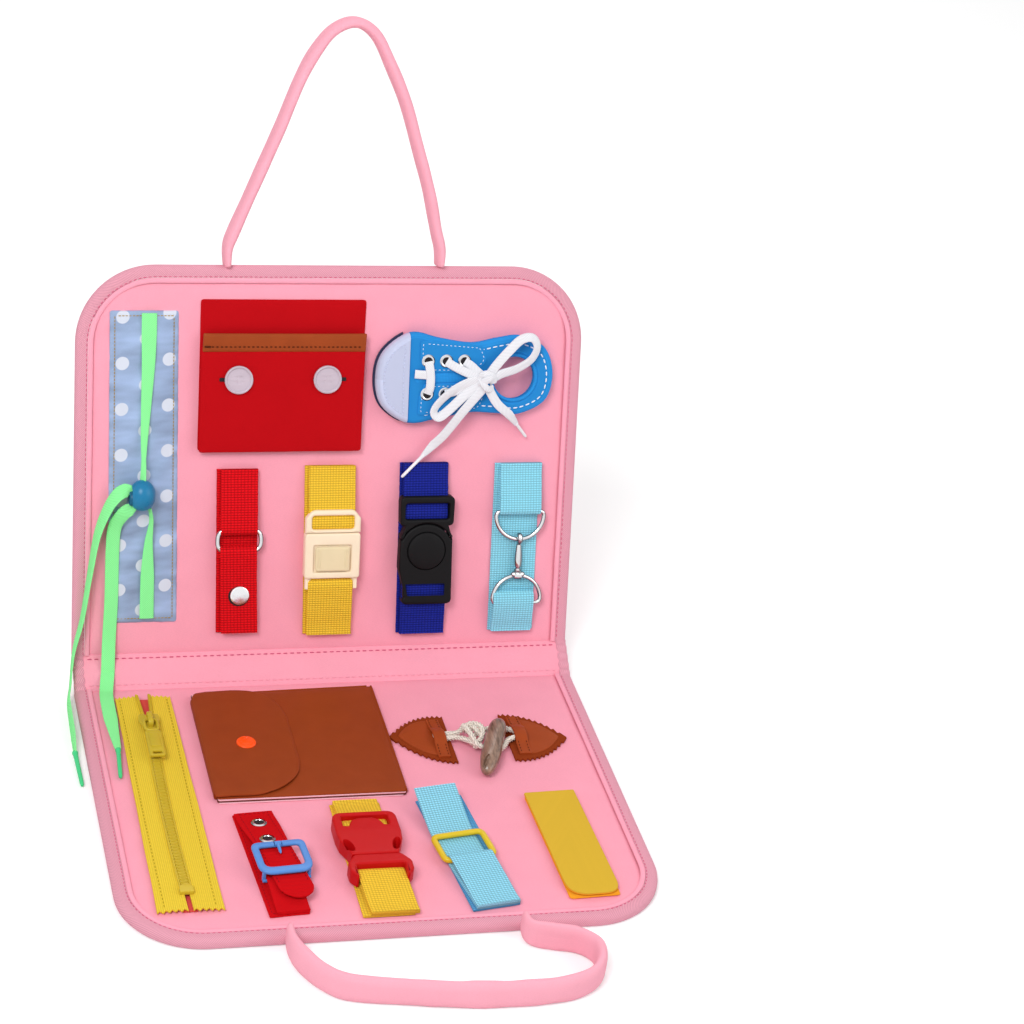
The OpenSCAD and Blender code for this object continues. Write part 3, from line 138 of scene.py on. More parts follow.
def lay_floor():
    """A pale floor that glows a little where the camera sees it."""
    bpy.ops.mesh.primitive_plane_add(size=24)
    floor = bpy.context.active_object
    floor.name = "floor"
    look = bpy.data.materials.new("floor")
    look.use_nodes = True
    nodes, links = look.node_tree.nodes, look.node_tree.links
    nodes.clear()
    cloth = nodes.new("ShaderNodeBsdfDiffuse")
    cloth.inputs["Color"].default_value = (0.86, 0.86, 0.86, 1)
    glow = nodes.new("ShaderNodeEmission")
    path = nodes.new("ShaderNodeLightPath")
    gain = nodes.new("ShaderNodeMath")
    gain.operation = "MULTIPLY"
    gain.inputs[1].default_value = 0.22
    links.new(path.outputs["Is Camera Ray"], gain.inputs[0])
    links.new(gain.outputs[0], glow.inputs["Strength"])
    both = nodes.new("ShaderNodeAddShader")
    out = nodes.new("ShaderNodeOutputMaterial")
    links.new(cloth.outputs[0], both.inputs[0])
    links.new(glow.outputs[0], both.inputs[1])
    links.new(both.outputs[0], out.inputs["Surface"])
    floor.data.materials.append(look)


stand_camera()
bpy.ops.object.select_all(action="DESELECT")
lay_floor()
light_studio()


# ---- node groups and materials ----

def new_group(name, inputs, outputs):
    """A shader group with its named inputs and outputs."""
    group = bpy.data.node_groups.new(name, "ShaderNodeTree")
    for label, kind, value in inputs:
        socket = group.interface.new_socket(name=label, in_out="INPUT", socket_type=kind)
        if value is not None:
            socket.default_value = value
    for label, kind in outputs:
        group.interface.new_socket(name=label, in_out="OUTPUT", socket_type=kind)
    return group, group.nodes.new("NodeGroupInput"), group.nodes.new("NodeGroupOutput")


def math_node(tree, operation, a, b=None, c=None):
    node = tree.nodes.new("ShaderNodeMath")
    node.operation = operation
    for socket, value in zip(node.inputs, (a, b, c)):
        if value is None:
            continue
        if isinstance(value, (int, float)):
            socket.default_value = value
        else:
            tree.links.new(value, socket)
    return node.outputs[0]


def noise_node(tree, vector, scale, detail=2.0, rough=0.5):
    node = tree.nodes.new("ShaderNodeTexNoise")
    node.inputs["Scale"].default_value = scale
    node.inputs["Detail"].default_value = detail
    node.inputs["Roughness"].default_value = rough
    tree.links.new(vector, node.inputs["Vector"])
    return node.outputs["Fac"]


def mapping_node(tree, vector, scale, turn=(0, 0, 0)):
    node = tree.nodes.new("ShaderNodeMapping")
    node.inputs["Scale"].default_value = scale
    node.inputs["Rotation"].default_value = turn
    tree.links.new(vector, node.inputs["Vector"])
    return node.outputs[0]


def mix_node(tree, factor, a, b):
    node = tree.nodes.new("ShaderNodeMix")
    node.data_type = "RGBA"
    for label, value in (("Factor", factor), ("A", a), ("B", b)):
        tree.links.new(value, node.inputs[label])
    return node.outputs["Result"]


def value_node(tree, color, value):
    """The same colour, lighter or darker by a value around 1."""
    node = tree.nodes.new("ShaderNodeHueSaturation")
    tree.links.new(color, node.inputs["Color"])
    tree.links.new(value, node.inputs["Value"])
    return node.outputs[0]


def tint_between(group, src, out, value, low, high):
    """Runs from the group's dark to its light colour as a value goes from low to high."""
    ramp = group.nodes.new("ShaderNodeMapRange")
    ramp.inputs["From Min"].default_value = low
    ramp.inputs["From Max"].default_value = high
    group.links.new(value, ramp.inputs["Value"])
    color = mix_node(group, ramp.outputs[0], src.outputs["Dark"], src.outputs["Light"])
    group.links.new(color, out.inputs["Color"])


VEC, NUM, COL = "NodeSocketVector", "NodeSocketFloat", "NodeSocketColor"
DARK, LIGHT = ("Dark", COL, (0, 0, 0, 1)), ("Light", COL, (1, 1, 1, 1))


def make_fibre_group():
    """Felt and brushed cloth: short crossed fibres and soft clouds."""
    group, src, out = new_group(
        "fibres", [("Vector", VEC, None), DARK, LIGHT],
        [("Color", COL), ("Height", NUM), ("Clouds", NUM)])
    fine = noise_node(group, src.outputs["Vector"], 2.4, 4, 0.7)
    combed = mapping_node(group, src.outputs["Vector"], (0.55, 2.2, 1.2), (0, 0, 0.7))
    hairs = noise_node(group, combed, 1.3, 3, 0.6)
    clouds = noise_node(group, src.outputs["Vector"], 0.045, 3, 0.55)
    both = math_node(group, "MULTIPLY_ADD", fine, 0.55, math_node(group, "MULTIPLY", hairs, 0.45))
    # the colour follows the fibres' height, dark where they lie low: painted shade among the
    # fibres; the clouds are the felt's own uneven tone
    tone = math_node(group, "MULTIPLY_ADD", clouds, 0.2, math_node(group, "MULTIPLY", both, 0.8))
    tint_between(group, src, out, tone, 0.32, 0.68)
    group.links.new(both, out.inputs["Height"])
    group.links.new(clouds, out.inputs["Clouds"])
    return group


def make_weave_group():
    """Woven cloth: rows of raised threads whose pitches along and across are in millimetres."""
    group, src, out = new_group(
        "weave", [("Vector", VEC, None), ("Along", NUM, 1.4), ("Across", NUM, 1.7),
                  ("Slant", NUM, 0.0), ("Ribs", NUM, 1.0), DARK, LIGHT],
        [("Color", COL), ("Height", NUM)])
    split = group.nodes.new("ShaderNodeSeparateXYZ")
    group.links.new(src.outputs["Vector"], split.inputs[0])
    u, v = split.outputs["X"], split.outputs["Y"]
    slanted = math_node(group, "MULTIPLY_ADD", v, src.outputs["Slant"], u)
    waves = []
    for place, pitch in ((slanted, "Along"), (v, "Across")):
        turn = math_node(group, "DIVIDE", place, src.outputs[pitch])
        wave = math_node(group, "SINE", math_node(group, "MULTIPLY", turn, math.pi))
        waves.append(math_node(group, "POWER", math_node(group, "ABSOLUTE", wave),
                               0.6 if pitch == "Along" else 0.35))
    # without ribs only the slanted threads are left, as on a twill tape
    rows = math_node(group, "MULTIPLY_ADD", math_node(group, "SUBTRACT", waves[1], 1.0),
                     src.outputs["Ribs"], 1.0)
    cross = math_node(group, "MULTIPLY", rows, waves[0])
    fuzz = noise_node(group, src.outputs["Vector"], 1.7, 3, 0.6)
    height = math_node(group, "MULTIPLY_ADD", fuzz, 0.22,
                       math_node(group, "MULTIPLY", cross, 0.85))
    # the threads' low places take the dark colour: painted shade between the raised threads
    tint_between(group, src, out, height, 0.15, 0.95)
    group.links.new(height, out.inputs["Height"])
    return group


def make_polish_group():
    """Moulded plastic, metal and hide: faint mottling, fine grain and small scuffs."""
    group, src, out = new_group(
        "polish", [("Vector", VEC, None), ("Base", COL, (1, 1, 1, 1)), ("Mottle", NUM, 0.08),
                   ("Rough", NUM, 0.3), ("Grain", NUM, 1.0)],
        [("Color", COL), ("Roughness", NUM), ("Height", NUM)])
    clouds = noise_node(group, src.outputs["Vector"], 0.09, 3, 0.5)
    grain = noise_node(group, src.outputs["Vector"], 1.6, 4, 0.65)
    rubbed = mapping_node(group, src.outputs["Vector"], (0.3, 3.0, 1.0), (0.3, 0.2, 0.9))
    scuffs = noise_node(group, rubbed, 0.8, 2, 0.5)
    value = math_node(group, "MULTIPLY_ADD", math_node(group, "SUBTRACT", clouds, 0.5),
                      math_node(group, "MULTIPLY", src.outputs["Mottle"], 4.0), 1.0)
    rough = math_node(group, "MULTIPLY_ADD", math_node(group, "SUBTRACT", scuffs, 0.5), 0.14,
                      src.outputs["Rough"])
    height = math_node(group, "MULTIPLY", grain, src.outputs["Grain"])
    group.links.new(value_node(group, src.outputs["Base"], value), out.inputs["Color"])
    group.links.new(rough, out.inputs["Roughness"])
    group.links.new(height, out.inputs["Height"])
    return group


def make_dot_group():
    """Satin print: round spots in two crossed rows, fine threads and soft clouds of painted light
    and shade for its diagonal wrinkles.
    """
    group, src, out = new_group(
        "dots", [("Vector", VEC, None), ("Ground", COL, (0, 0, 0, 1)), ("Spot", COL, (1, 1, 1, 1)),
                 ("Pitch", NUM, 26.8), ("Radius", NUM, 3.5)],
        [("Color", COL), ("Height", NUM)])
    split = group.nodes.new("ShaderNodeSeparateXYZ")
    group.links.new(src.outputs["Vector"], split.inputs[0])
    masks = []
    for shift in (0.0, 0.5):
        parts = []
        for axis in "XY":
            turn = math_node(group, "DIVIDE", split.outputs[axis], src.outputs["Pitch"])
            cell = math_node(group, "FRACT", math_node(group, "ADD", turn, 100.5 + shift))
            off = math_node(group, "MULTIPLY", math_node(group, "SUBTRACT", cell, 0.5),
                            src.outputs["Pitch"])
            parts.append(math_node(group, "MULTIPLY", off, off))
        far = math_node(group, "SQRT", math_node(group, "ADD", parts[0], parts[1]))
        rim = math_node(group, "SUBTRACT", src.outputs["Radius"], far)
        masks.append(math_node(group, "ADD", math_node(group, "MULTIPLY", rim, 3.0), 0.5))
    mask = group.nodes.new("ShaderNodeClamp")
    group.links.new(math_node(group, "MAXIMUM", masks[0], masks[1]), mask.inputs["Value"])
    fine = noise_node(group, src.outputs["Vector"], 1.4, 3, 0.6)
    # painted light and shade: long diagonal clouds lighten and darken the ground along the
    # wrinkles, and the fine threads are a little darker where they lie low
    pulled = mapping_node(group, src.outputs["Vector"], (0.5, 1.7, 1), (0, 0, 0.9))
    clouds = noise_node(group, pulled, 0.06, 2, 0.5)
    value = math_node(group, "MULTIPLY_ADD", math_node(group, "SUBTRACT", clouds, 0.5), 1.3,
                      math_node(group, "MULTIPLY_ADD", math_node(group, "SUBTRACT", fine, 0.5),
                                0.18, 1.0))
    ground = value_node(group, src.outputs["Ground"], value)
    color = mix_node(group, mask.outputs[0], ground, src.outputs["Spot"])
    group.links.new(color, out.inputs["Color"])
    group.links.new(fine, out.inputs["Height"])
    return group


def make_streak_group():
    """Horn: long pale and dark streaks and fine grain."""
    group, src, out = new_group(
        "streaks", [("Vector", VEC, None), DARK, LIGHT],
        [("Color", COL), ("Height", NUM)])
    pulled = mapping_node(group, src.outputs["Vector"], (1.0, 0.12, 1.0))
    broad = noise_node(group, pulled, 0.32, 3, 0.6)
    fine = noise_node(group, pulled, 1.6, 2, 0.5)
    tone = math_node(group, "MULTIPLY_ADD", fine, 0.25, math_node(group, "MULTIPLY", broad, 0.75))
    tint_between(group, src, out, tone, 0.36, 0.66)
    group.links.new(fine, out.inputs["Height"])
    return group


FIBRES, WEAVE, POLISH = make_fibre_group(), make_weave_group(), make_polish_group()
DOTS, STREAKS = make_dot_group(), make_streak_group()


LOOKS = {}


def new_look(name, group, values, coords="UV", bump=0.3, depth=0.3, **surface):
    """Keeps a material whose colour and relief come from a group, and its shader's settings."""
    look = bpy.data.materials.new(name)
    look.use_nodes = True
    tree = look.node_tree
    shader = tree.nodes["Principled BSDF"]
    where = tree.nodes.new("ShaderNodeTexCoord")
    # a piece's own points are in metres, its UV map in millimetres
    to_mm = 1000 if coords == "Object" else 1
    place = mapping_node(tree, where.outputs[coords], (to_mm, to_mm, to_mm))
    cloth = tree.nodes.new("ShaderNodeGroup")
    cloth.node_tree = group
    tree.links.new(place, cloth.inputs["Vector"])
    for label, value in values.items():
        cloth.inputs[label].default_value = (*value, 1) if isinstance(value, tuple) else value
    tree.links.new(cloth.outputs["Color"], shader.inputs["Base Color"])
    if "Roughness" in cloth.outputs:
        tree.links.new(cloth.outputs["Roughness"], shader.inputs["Roughness"])
    relief = tree.nodes.new("ShaderNodeBump")
    relief.inputs["Strength"].default_value = bump
    relief.inputs["Distance"].default_value = depth * 0.001
    tree.links.new(cloth.outputs["Height"], relief.inputs["Height"])
    tree.links.new(relief.outputs[0], shader.inputs["Normal"])
    for label, value in surface.items():
        shader.inputs[label.replace("_", " ")].default_value = value
    LOOKS[name] = look
    return look


def shade(color, by):
    """A colour made darker or lighter."""
    return tuple(max(0.0, min(1.0, c * by)) for c in color)


def rgb(red, green, blue):
    """A screen colour from 0 to 255 as a linear one."""
    return tuple(((c / 255 + 0.055) / 1.055) ** 2.4 if c > 10 else c / 3295
                 for c in (red, green, blue))


def felt(name, color, **more):
    """Thick soft felt."""
    values = {"Dark": shade(color, 0.88), "Light": shade(color, 1.06)}
    return new_look(name, FIBRES, values, bump=0.5, depth=0.5, Roughness=0.95,
                    Specular_IOR_Level=0.06, **more)


def woven(name, color, along, across, slant=0.0, dark=0.72, bump=0.6, ribs=1.0, **more):
    """Woven cloth or twill; along and across are its threads' pitches in millimetres."""
    # dark sets how deep the painted shade between the threads goes
    values = {"Dark": shade(color, dark), "Light": shade(color, 1.12), "Along": along,
              "Across": across, "Slant": slant, "Ribs": ribs}
    return new_look(name, WEAVE, values, bump=bump, depth=0.45, Roughness=0.8,
                    Specular_IOR_Level=0.08, **more)


def thread(name, color, dark=0.8):
    """Sewing thread, laid in a fine twist."""
    return woven(name, color, 0.5, 1.0, 1.0, dark, 0.3, 0.0)


def hard(name, color, rough=0.3, mottle=0.03, grain=0.3, bump=0.12, **more):
    """Smooth plastic, hide or metal."""
    values = {"Base": color, "Rough": rough, "Mottle": mottle, "Grain": grain}
    more.setdefault("Specular_IOR_Level", 0.28)
    return new_look(name, POLISH, values, "Object", bump, 0.2, **more)


def chrome(name, color):
    """Polished metal whose colour holds a painted reflection: a dark band between its bright
    middle and its bright rim.
    """
    look = hard(name, color, 0.14, 0.05, Metallic=1.0)
    tree = look.node_tree
    # painted reflection: a ramp on how squarely each point faces the camera darkens a band of the
    # base colour
    facing = tree.nodes.new("ShaderNodeLayerWeight")
    facing.inputs["Blend"].default_value = 0.5
    band = tree.nodes.new("ShaderNodeValToRGB")
    stops = ((0.0, 1.0), (0.16, 0.9), (0.34, 0.16), (0.6, 0.4), (0.8, 0.95))
    for spot, tone in stops:
        stop = band.color_ramp.elements.new(spot) if spot else band.color_ramp.elements[0]
        stop.color = (tone, tone, tone, 1)
    band.color_ramp.elements[-1].color = (0.7, 0.7, 0.7, 1)
    tree.links.new(facing.outputs["Facing"], band.inputs["Fac"])
    tint = tree.nodes.new("ShaderNodeMix")
    tint.data_type, tint.blend_type = "RGBA", "MULTIPLY"
    tint.inputs["Factor"].default_value = 1.0
    shader = tree.nodes["Principled BSDF"]
    source = shader.inputs["Base Color"].links[0].from_socket
    tree.links.new(source, tint.inputs["A"])
    tree.links.new(band.outputs["Color"], tint.inputs["B"])
    tree.links.new(tint.outputs["Result"], shader.inputs["Base Color"])


PINK = rgb(251, 165, 184)
felt("page_felt", PINK)
# the page's felt made a little darker for the panels' undersides: painted shade
felt("cover_felt", shade(PINK, 0.97))
woven("binding_tape", rgb(224, 156, 173), 1.3, 40.0, 1.0, 0.74, 0.6, 0.0)
felt("pink_strip", rgb(250, 168, 188))
thread("pink_thread", rgb(214, 100, 132))
felt("handle_felt", rgb(252, 174, 191))
new_look("dotted_satin", DOTS, {"Ground": rgb(144, 165, 199), "Spot": rgb(206, 212, 226),
                                "Pitch": 26.8, "Radius": 3.8}, bump=0.25, depth=0.2, Roughness=0.6,
         Sheen_Weight=0.1)
thread("olive_thread", rgb(170, 140, 60))
woven("mint_lace", rgb(138, 240, 152), 1.3, 1.3, 1.0, 0.86, 0.5, 0.0)
hard("mint_tip", rgb(64, 205, 130), 0.25)
hard("teal_plastic", rgb(26, 120, 164), 0.3)
# the teal plastic made darker: painted shade on the plunger inside the lock's bore
hard("teal_inside", rgb(16, 92, 126), 0.4)
felt("red_felt", rgb(186, 12, 21))
hard("tan_trim", rgb(152, 66, 27), 0.5, 0.06, 0.8, 0.3, Specular_IOR_Level=0.12)
thread("brown_thread", rgb(84, 34, 14))
hard("button_white", rgb(194, 180, 192), 0.25, 0.05)
woven("blue_canvas", rgb(42, 142, 216), 0.9, 0.9, 0.0, 0.86, 0.4)
woven("cap_canvas", rgb(194, 200, 226), 0.8, 0.8, 0.0, 0.93, 0.3)
hard("sole_dark", rgb(38, 42, 74), 0.6)
thread("white_thread", rgb(236, 238, 246), 0.85)
woven("white_lace", rgb(226, 226, 231), 1.2, 1.2, 1.0, 0.86, 0.5, 0.0)
hard("white_tip", rgb(236, 236, 240), 0.2)
chrome("steel", (0.8, 0.8, 0.82))
hard("cap_metal", (0.86, 0.86, 0.88), 0.2, 0.04, Metallic=1.0)
# a near-black for painted shade in holes, slits and under the snap's cap
hard("dark_hole", rgb(28, 22, 26), 0.7)
woven("red_web", rgb(226, 16, 27), 1.5, 2.0, 0.0, 0.5, 1.0)
woven("yellow_web", rgb(252, 200, 60), 1.4, 1.7, 0.0, 0.62, 1.0)
woven("navy_web", rgb(30, 42, 148), 1.5, 1.8, 0.0, 0.4, 1.0)
woven("pale_web", rgb(146, 222, 246), 1.4, 1.7, 0.0, 0.62, 1.0)
woven("sky_web", rgb(150, 220, 246), 1.4, 1.7, 0.0, 0.5, 1.0)
# the sky webbing made darker: painted shade on the base strap under the raised strap and the loop
woven("sky_web_low", rgb(88, 160, 208), 1.4, 1.7, 0.0, 0.66, 1.0)
hard("cream_plastic", rgb(246, 228, 200), 0.35)
hard("cream_button", rgb(230, 213, 174), 0.32)
hard("black_plastic", rgb(13, 12, 14), 0.55, 0.05, 0.6, 0.2, Specular_IOR_Level=0.16)
woven("zip_tape", rgb(228, 196, 58), 1.1, 1.1, 0.0, 0.84, 0.5)
hard("zip_tooth", rgb(206, 178, 46), 0.38)
hard("zip_brass", rgb(196, 170, 40), 0.3, 0.05)
thread("zip_thread", rgb(176, 148, 30))
felt("zip_gap", rgb(222, 84, 78))
hard("wallet_hide", rgb(145, 60, 22), 0.5, 0.05, 0.9, 0.35, Specular_IOR_Level=0.12)
hard("wallet_edge", rgb(96, 34, 22), 0.6)
felt("wallet_lining", rgb(244, 186, 198))
hard("orange_plastic", rgb(255, 84, 18), 0.25)
felt("leaf_hide", rgb(140, 57, 23))
hard("tab_hide", rgb(156, 66, 26), 0.55, 0.06, 0.9, 0.35, Specular_IOR_Level=0.12)
woven("cotton", rgb(238, 228, 216), 1.6, 3.0, 0.9, 0.66, 0.9, 0.0)
new_look("horn", STREAKS, {"Dark": rgb(88, 60, 42), "Light": rgb(160, 128, 108)}, "Object", 0.15,
         0.2, Roughness=0.3, Coat_Weight=0.2)
felt("belt_felt", rgb(200, 12, 20))
thread("red_thread", rgb(150, 8, 24))
hard("blue_plastic", rgb(82, 138, 208), 0.3)
hard("red_plastic", rgb(190, 13, 16), 0.42, 0.02, 0.2, 0.05, Specular_IOR_Level=0.16)
hard("yellow_plastic", rgb(220, 188, 34), 0.3)
felt("strip_felt", rgb(216, 176, 56))
felt("strip_edge", rgb(240, 160, 40))

# which part of the colour table each material belongs to
SLOTS = {
    "pink_cloth": "page_felt cover_felt pink_strip handle_felt zip_gap",
    "pink_binding": "binding_tape pink_thread",
    "dotted": "dotted_satin olive_thread",
    "mint_lace": "mint_lace mint_tip",
    "teal_plastic": "teal_plastic teal_inside",
    "red_felt": "red_felt belt_felt red_thread",
    "brown_leather": "tan_trim brown_thread wallet_hide wallet_edge wallet_lining leaf_hide "
                     "tab_hide",
    "blue_canvas": "blue_canvas white_thread",
    "white_rubber": "cap_canvas sole_dark",
    "white_lace": "white_lace white_tip",
    "metal": "steel cap_metal dark_hole",
    "sky_web": "pale_web sky_web sky_web_low",
    "cream_plastic": "cream_plastic cream_button",
    "zip_yellow": "zip_tape zip_thread",
    "zip_teeth": "zip_tooth",
    "zip_metal": "zip_brass",
    "yellow_felt": "strip_felt strip_edge",
}
SLOT_OF = {look: look for look in LOOKS}
SLOT_OF.update({look: slot for slot, looks in SLOTS.items() for look in looks.split()})


# ---- making and placing pieces ----

def grab(obj):
    """Selects one piece and no other."""
    bpy.ops.object.select_all(action="DESELECT")
    obj.select_set(True)
    bpy.context.view_layer.objects.active = obj


def apply(obj, kind, **settings):
    """Adds a modifier, sets it and applies it."""
    grab(obj)
    mod = obj.modifiers.new(kind.lower(), kind)
    for label, value in settings.items():
        setattr(mod, label, value)
    bpy.ops.object.modifier_apply(modifier=mod.name)


def from_faces(name, points, faces, uvs=None):
    """A piece from its points, its faces and the UV corners of each face."""
    mesh = bpy.data.meshes.new(name)
    mesh.from_pydata([tuple(p) for p in points], [], faces)
    obj = bpy.data.objects.new(name, mesh)
    SCENE.collection.objects.link(obj)
    if uvs is not None:
        layer = mesh.uv_layers.new(name="UVMap")
        flat = [c for face in uvs for uv in face for c in uv]
        layer.data.foreach_set("uv", flat)
    return obj


def map_flat(obj):
    """Gives a piece a UV map of its own (u, v) in millimetres, where it has none yet."""
    mesh = obj.data
    if mesh.uv_layers:
        return
    layer = mesh.uv_layers.new(name="UVMap")
    for poly in mesh.polygons:
        steep = abs(poly.normal.z) < 0.4
        for index in poly.loop_indices:
            co = mesh.vertices[mesh.loops[index].vertex_index].co
            layer.data[index].uv = (co.x + (co.z if steep else 0), co.y + (co.z if steep else 0))


def join(objs, name):
    """Makes several pieces one."""
    for obj in objs:
        map_flat(obj)
    grab(objs[0])
    for obj in objs[1:]:
        obj.select_set(True)
    bpy.ops.object.join()
    objs[0].name = name
    return objs[0]


def lay(obj, place, look, angle=38):
    """Lays a finished piece in its place and gives it its material."""
    bpy.context.view_layer.update()
    map_flat(obj)
    mesh = obj.data
    mesh.transform(obj.matrix_world)
    obj.matrix_world = Matrix.Identity(4)
    mesh.transform(place)
    if place.to_3x3().determinant() < 0:
        mesh.flip_normals()
    mesh.materials.clear()
    mesh.materials.append(LOOKS[look])
    grab(obj)
    bpy.ops.object.shade_smooth_by_angle(angle=math.radians(angle))


def put(obj, seat, look, nodes=(), body=None, angle=38):
    """Lays a piece on a seat and lets it ride on the seat's body or another; a piece given two
    bodies rides on none.
    """
    place, body = seat[0], body or seat[1]
    lay(obj, place, look, angle)
    if isinstance(body, tuple):
        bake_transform(obj)
    else:
        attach(obj, body)
    if nodes:
        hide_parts(*((nodes,) if isinstance(nodes, str) else nodes))
    return obj


def mend(obj, merge=0.0, turn=True):
    """Joins points that lie together and turns the faces outwards."""
    grab(obj)
    bpy.ops.object.mode_set(mode="EDIT")
    bpy.ops.mesh.select_all(action="SELECT")
    if merge:
        bpy.ops.mesh.remove_doubles(threshold=merge)
    if turn:
        bpy.ops.mesh.normals_make_consistent(inside=False)
    bpy.ops.object.mode_set(mode="OBJECT")


def grid(nu, nv):
    """The faces of a net of points that has nu meshes along each of its nv rows."""
    w = nu + 1
    return [[j * w + i, j * w + i + 1, (j + 1) * w + i + 1, (j + 1) * w + i]
            for j in range(nv) for i in range(nu)]


def sweep(name, path, section, up=(0, 0, 1), twist=None, size=None, closed=False, flat=False,
          ends=(None, None)):
    """Carries a section, a closed list of (side, up) offsets, along a path of points."""
    points = [Vector(p) for p in path]
    count, around = len(points), len(section)
    rows, lengths, run = [], [0.0], 0.0
    for i, point in enumerate(points):
        before = points[i - 1] if closed or i else point
        after = points[(i + 1) % count] if closed or i < count - 1 else point
        along = (after - before).normalized()
        if (i == 0 and ends[0]) or (i == count - 1 and ends[1]):
            along = Vector(ends[0] if i == 0 else ends[1])
        lift = Vector(up[i] if isinstance(up, list) else up)
        side = Vector((1, 0, 0)) if flat else along.cross(lift).normalized()
        top = side.cross(along)
        if twist:
            angle = twist[i]
            side, top = (side * math.cos(angle) + top * math.sin(angle),
                         top * math.cos(angle) - side * math.sin(angle))
        wide, high = size[i] if size else (1, 1)
        rows.append([point + side * s * wide + top * t * high for s, t in section])
        if i:
            run += (point - points[i - 1]).length
            lengths.append(run)
    girth = [0.0]
    for k in range(around):
        a, b = section[k], section[(k + 1) % around]
        girth.append(girth[-1] + math.dist(a, b))
    verts = [p for row in rows for p in row]
    faces, uvs = [], []
    steps = count if closed else count - 1
    closing = run + (points[0] - points[-1]).length
    for i in range(steps):
        j = (i + 1) % count
        v0, v1 = lengths[i], lengths[i + 1] if i + 1 < count else closing
        for k in range(around):
            m = (k + 1) % around
            faces.append([i * around + k, i * around + m, j * around + m, j * around + k])
            uvs.append([(v0, girth[k]), (v0, girth[k + 1]), (v1, girth[k + 1]), (v1, girth[k])])
    if not closed:
        faces.append([k for k in range(around - 1, -1, -1)])
        uvs.append([(lengths[0], girth[k]) for k in range(around - 1, -1, -1)])
        faces.append([(count - 1) * around + k for k in range(around)])
        uvs.append([(run, girth[k]) for k in range(around)])
    obj = from_faces(name, verts, faces, uvs)
    mend(obj)
    return obj


def smooth(points, steps=6, closed=False):
    """A smooth curve through the given points."""
    pts = [Vector(p) for p in points]
    n = len(pts)
    out = []
    for i in range(n if closed else n - 1):
        a = pts[i - 1] if closed or i else pts[i]
        b, c = pts[i], pts[(i + 1) % n]
        d = pts[(i + 2) % n] if closed or i + 2 < n else c
        for k in range(steps):
            t = k / steps
            out.append(0.5 * (2 * b + (c - a) * t + (2 * a - 5 * b + 4 * c - d) * t * t
                              + (3 * b - a - 3 * c + d) * t ** 3))
    if not closed:
        out.append(pts[-1])
    return out


def even(path, step, closed=False):
    """The same path with points an even step apart."""
    pts = list(path) + ([path[0]] if closed else [])
    out, left = [pts[0].copy()], step
    for a, b in zip(pts, pts[1:]):
        gap = (b - a).length
        while gap >= left and gap > 0:
            a = a + (b - a) * (left / gap)
            out.append(a.copy())
            gap = (b - a).length
            left = step
        left -= gap
    return out


def oval(wide, high, count=12, power=2.0):
    """A rounded section; a higher power makes it squarer."""
    out = []
    for k in range(count):
        a = 2 * math.pi * (k + 0.5) / count
        c, s = math.cos(a), math.sin(a)
        out.append((math.copysign(abs(c) ** (2 / power), c) * wide / 2,
                    math.copysign(abs(s) ** (2 / power), s) * high / 2))
    return out


def corners(points, count=6):
    """An outline whose corners (x, y, radius) are rounded."""
    out = []
    n = len(points)
    for i in range(n):
        p = Vector(points[i][:2])
        r = points[i][2] if len(points[i]) > 2 else 0
        a = (Vector(points[i - 1][:2]) - p)
        b = (Vector(points[(i + 1) % n][:2]) - p)
        if r <= 0:
            out.append(p)
            continue
        half = a.angle(b) / 2
        reach = min(r / math.tan(half), a.length * 0.49, b.length * 0.49)
        start, stop = p + a.normalized() * reach, p + b.normalized() * reach
        for k in range(count + 1):
            t = k / count
            out.append((1 - t) ** 2 * start + 2 * t * (1 - t) * p + t * t * stop)
    return out


def box_outline(u, v, w, h, r, count=6):
    """A rounded oblong about a middle point."""
    return corners([(u - w / 2, v - h / 2, r), (u + w / 2, v - h / 2, r),
                    (u + w / 2, v + h / 2, r), (u - w / 2, v + h / 2, r)], count)


def ring_outline(u, v, r, count=32, stretch=1.0):
    """A circle, or an oval that is stretched along v."""
    return [Vector((u + r * math.cos(2 * math.pi * k / count),
                    v + stretch * r * math.sin(2 * math.pi * k / count))) for k in range(count)]


def slab(name, outlines, h0, h1, edge=0.3, rounds=2):
    """A plate of an outline with holes, its edges rounded over."""
    data = bpy.data.curves.new(name, "CURVE")
    data.dimensions = "2D"
    data.fill_mode = "BOTH"
    for outline in outlines:
        spline = data.splines.new("POLY")
        spline.points.add(len(outline) - 1)
        for point, co in zip(spline.points, outline):
            point.co = (co[0], co[1], 0, 1)
        spline.use_cyclic_u = True
    edge = min(edge, (h1 - h0) / 2 - 0.01)
    data.extrude = (h1 - h0) / 2 - edge
    data.bevel_depth = edge
    data.bevel_resolution = rounds
    data.offset = -edge
    obj = bpy.data.objects.new(name, data)
    SCENE.collection.objects.link(obj)
    obj.location.z = (h0 + h1) / 2
    grab(obj)
    bpy.ops.object.convert(target="MESH")
    obj = bpy.context.active_object
    bpy.ops.object.transform_apply(location=True, rotation=True, scale=True)
    mend(obj, 0.005)
    return obj


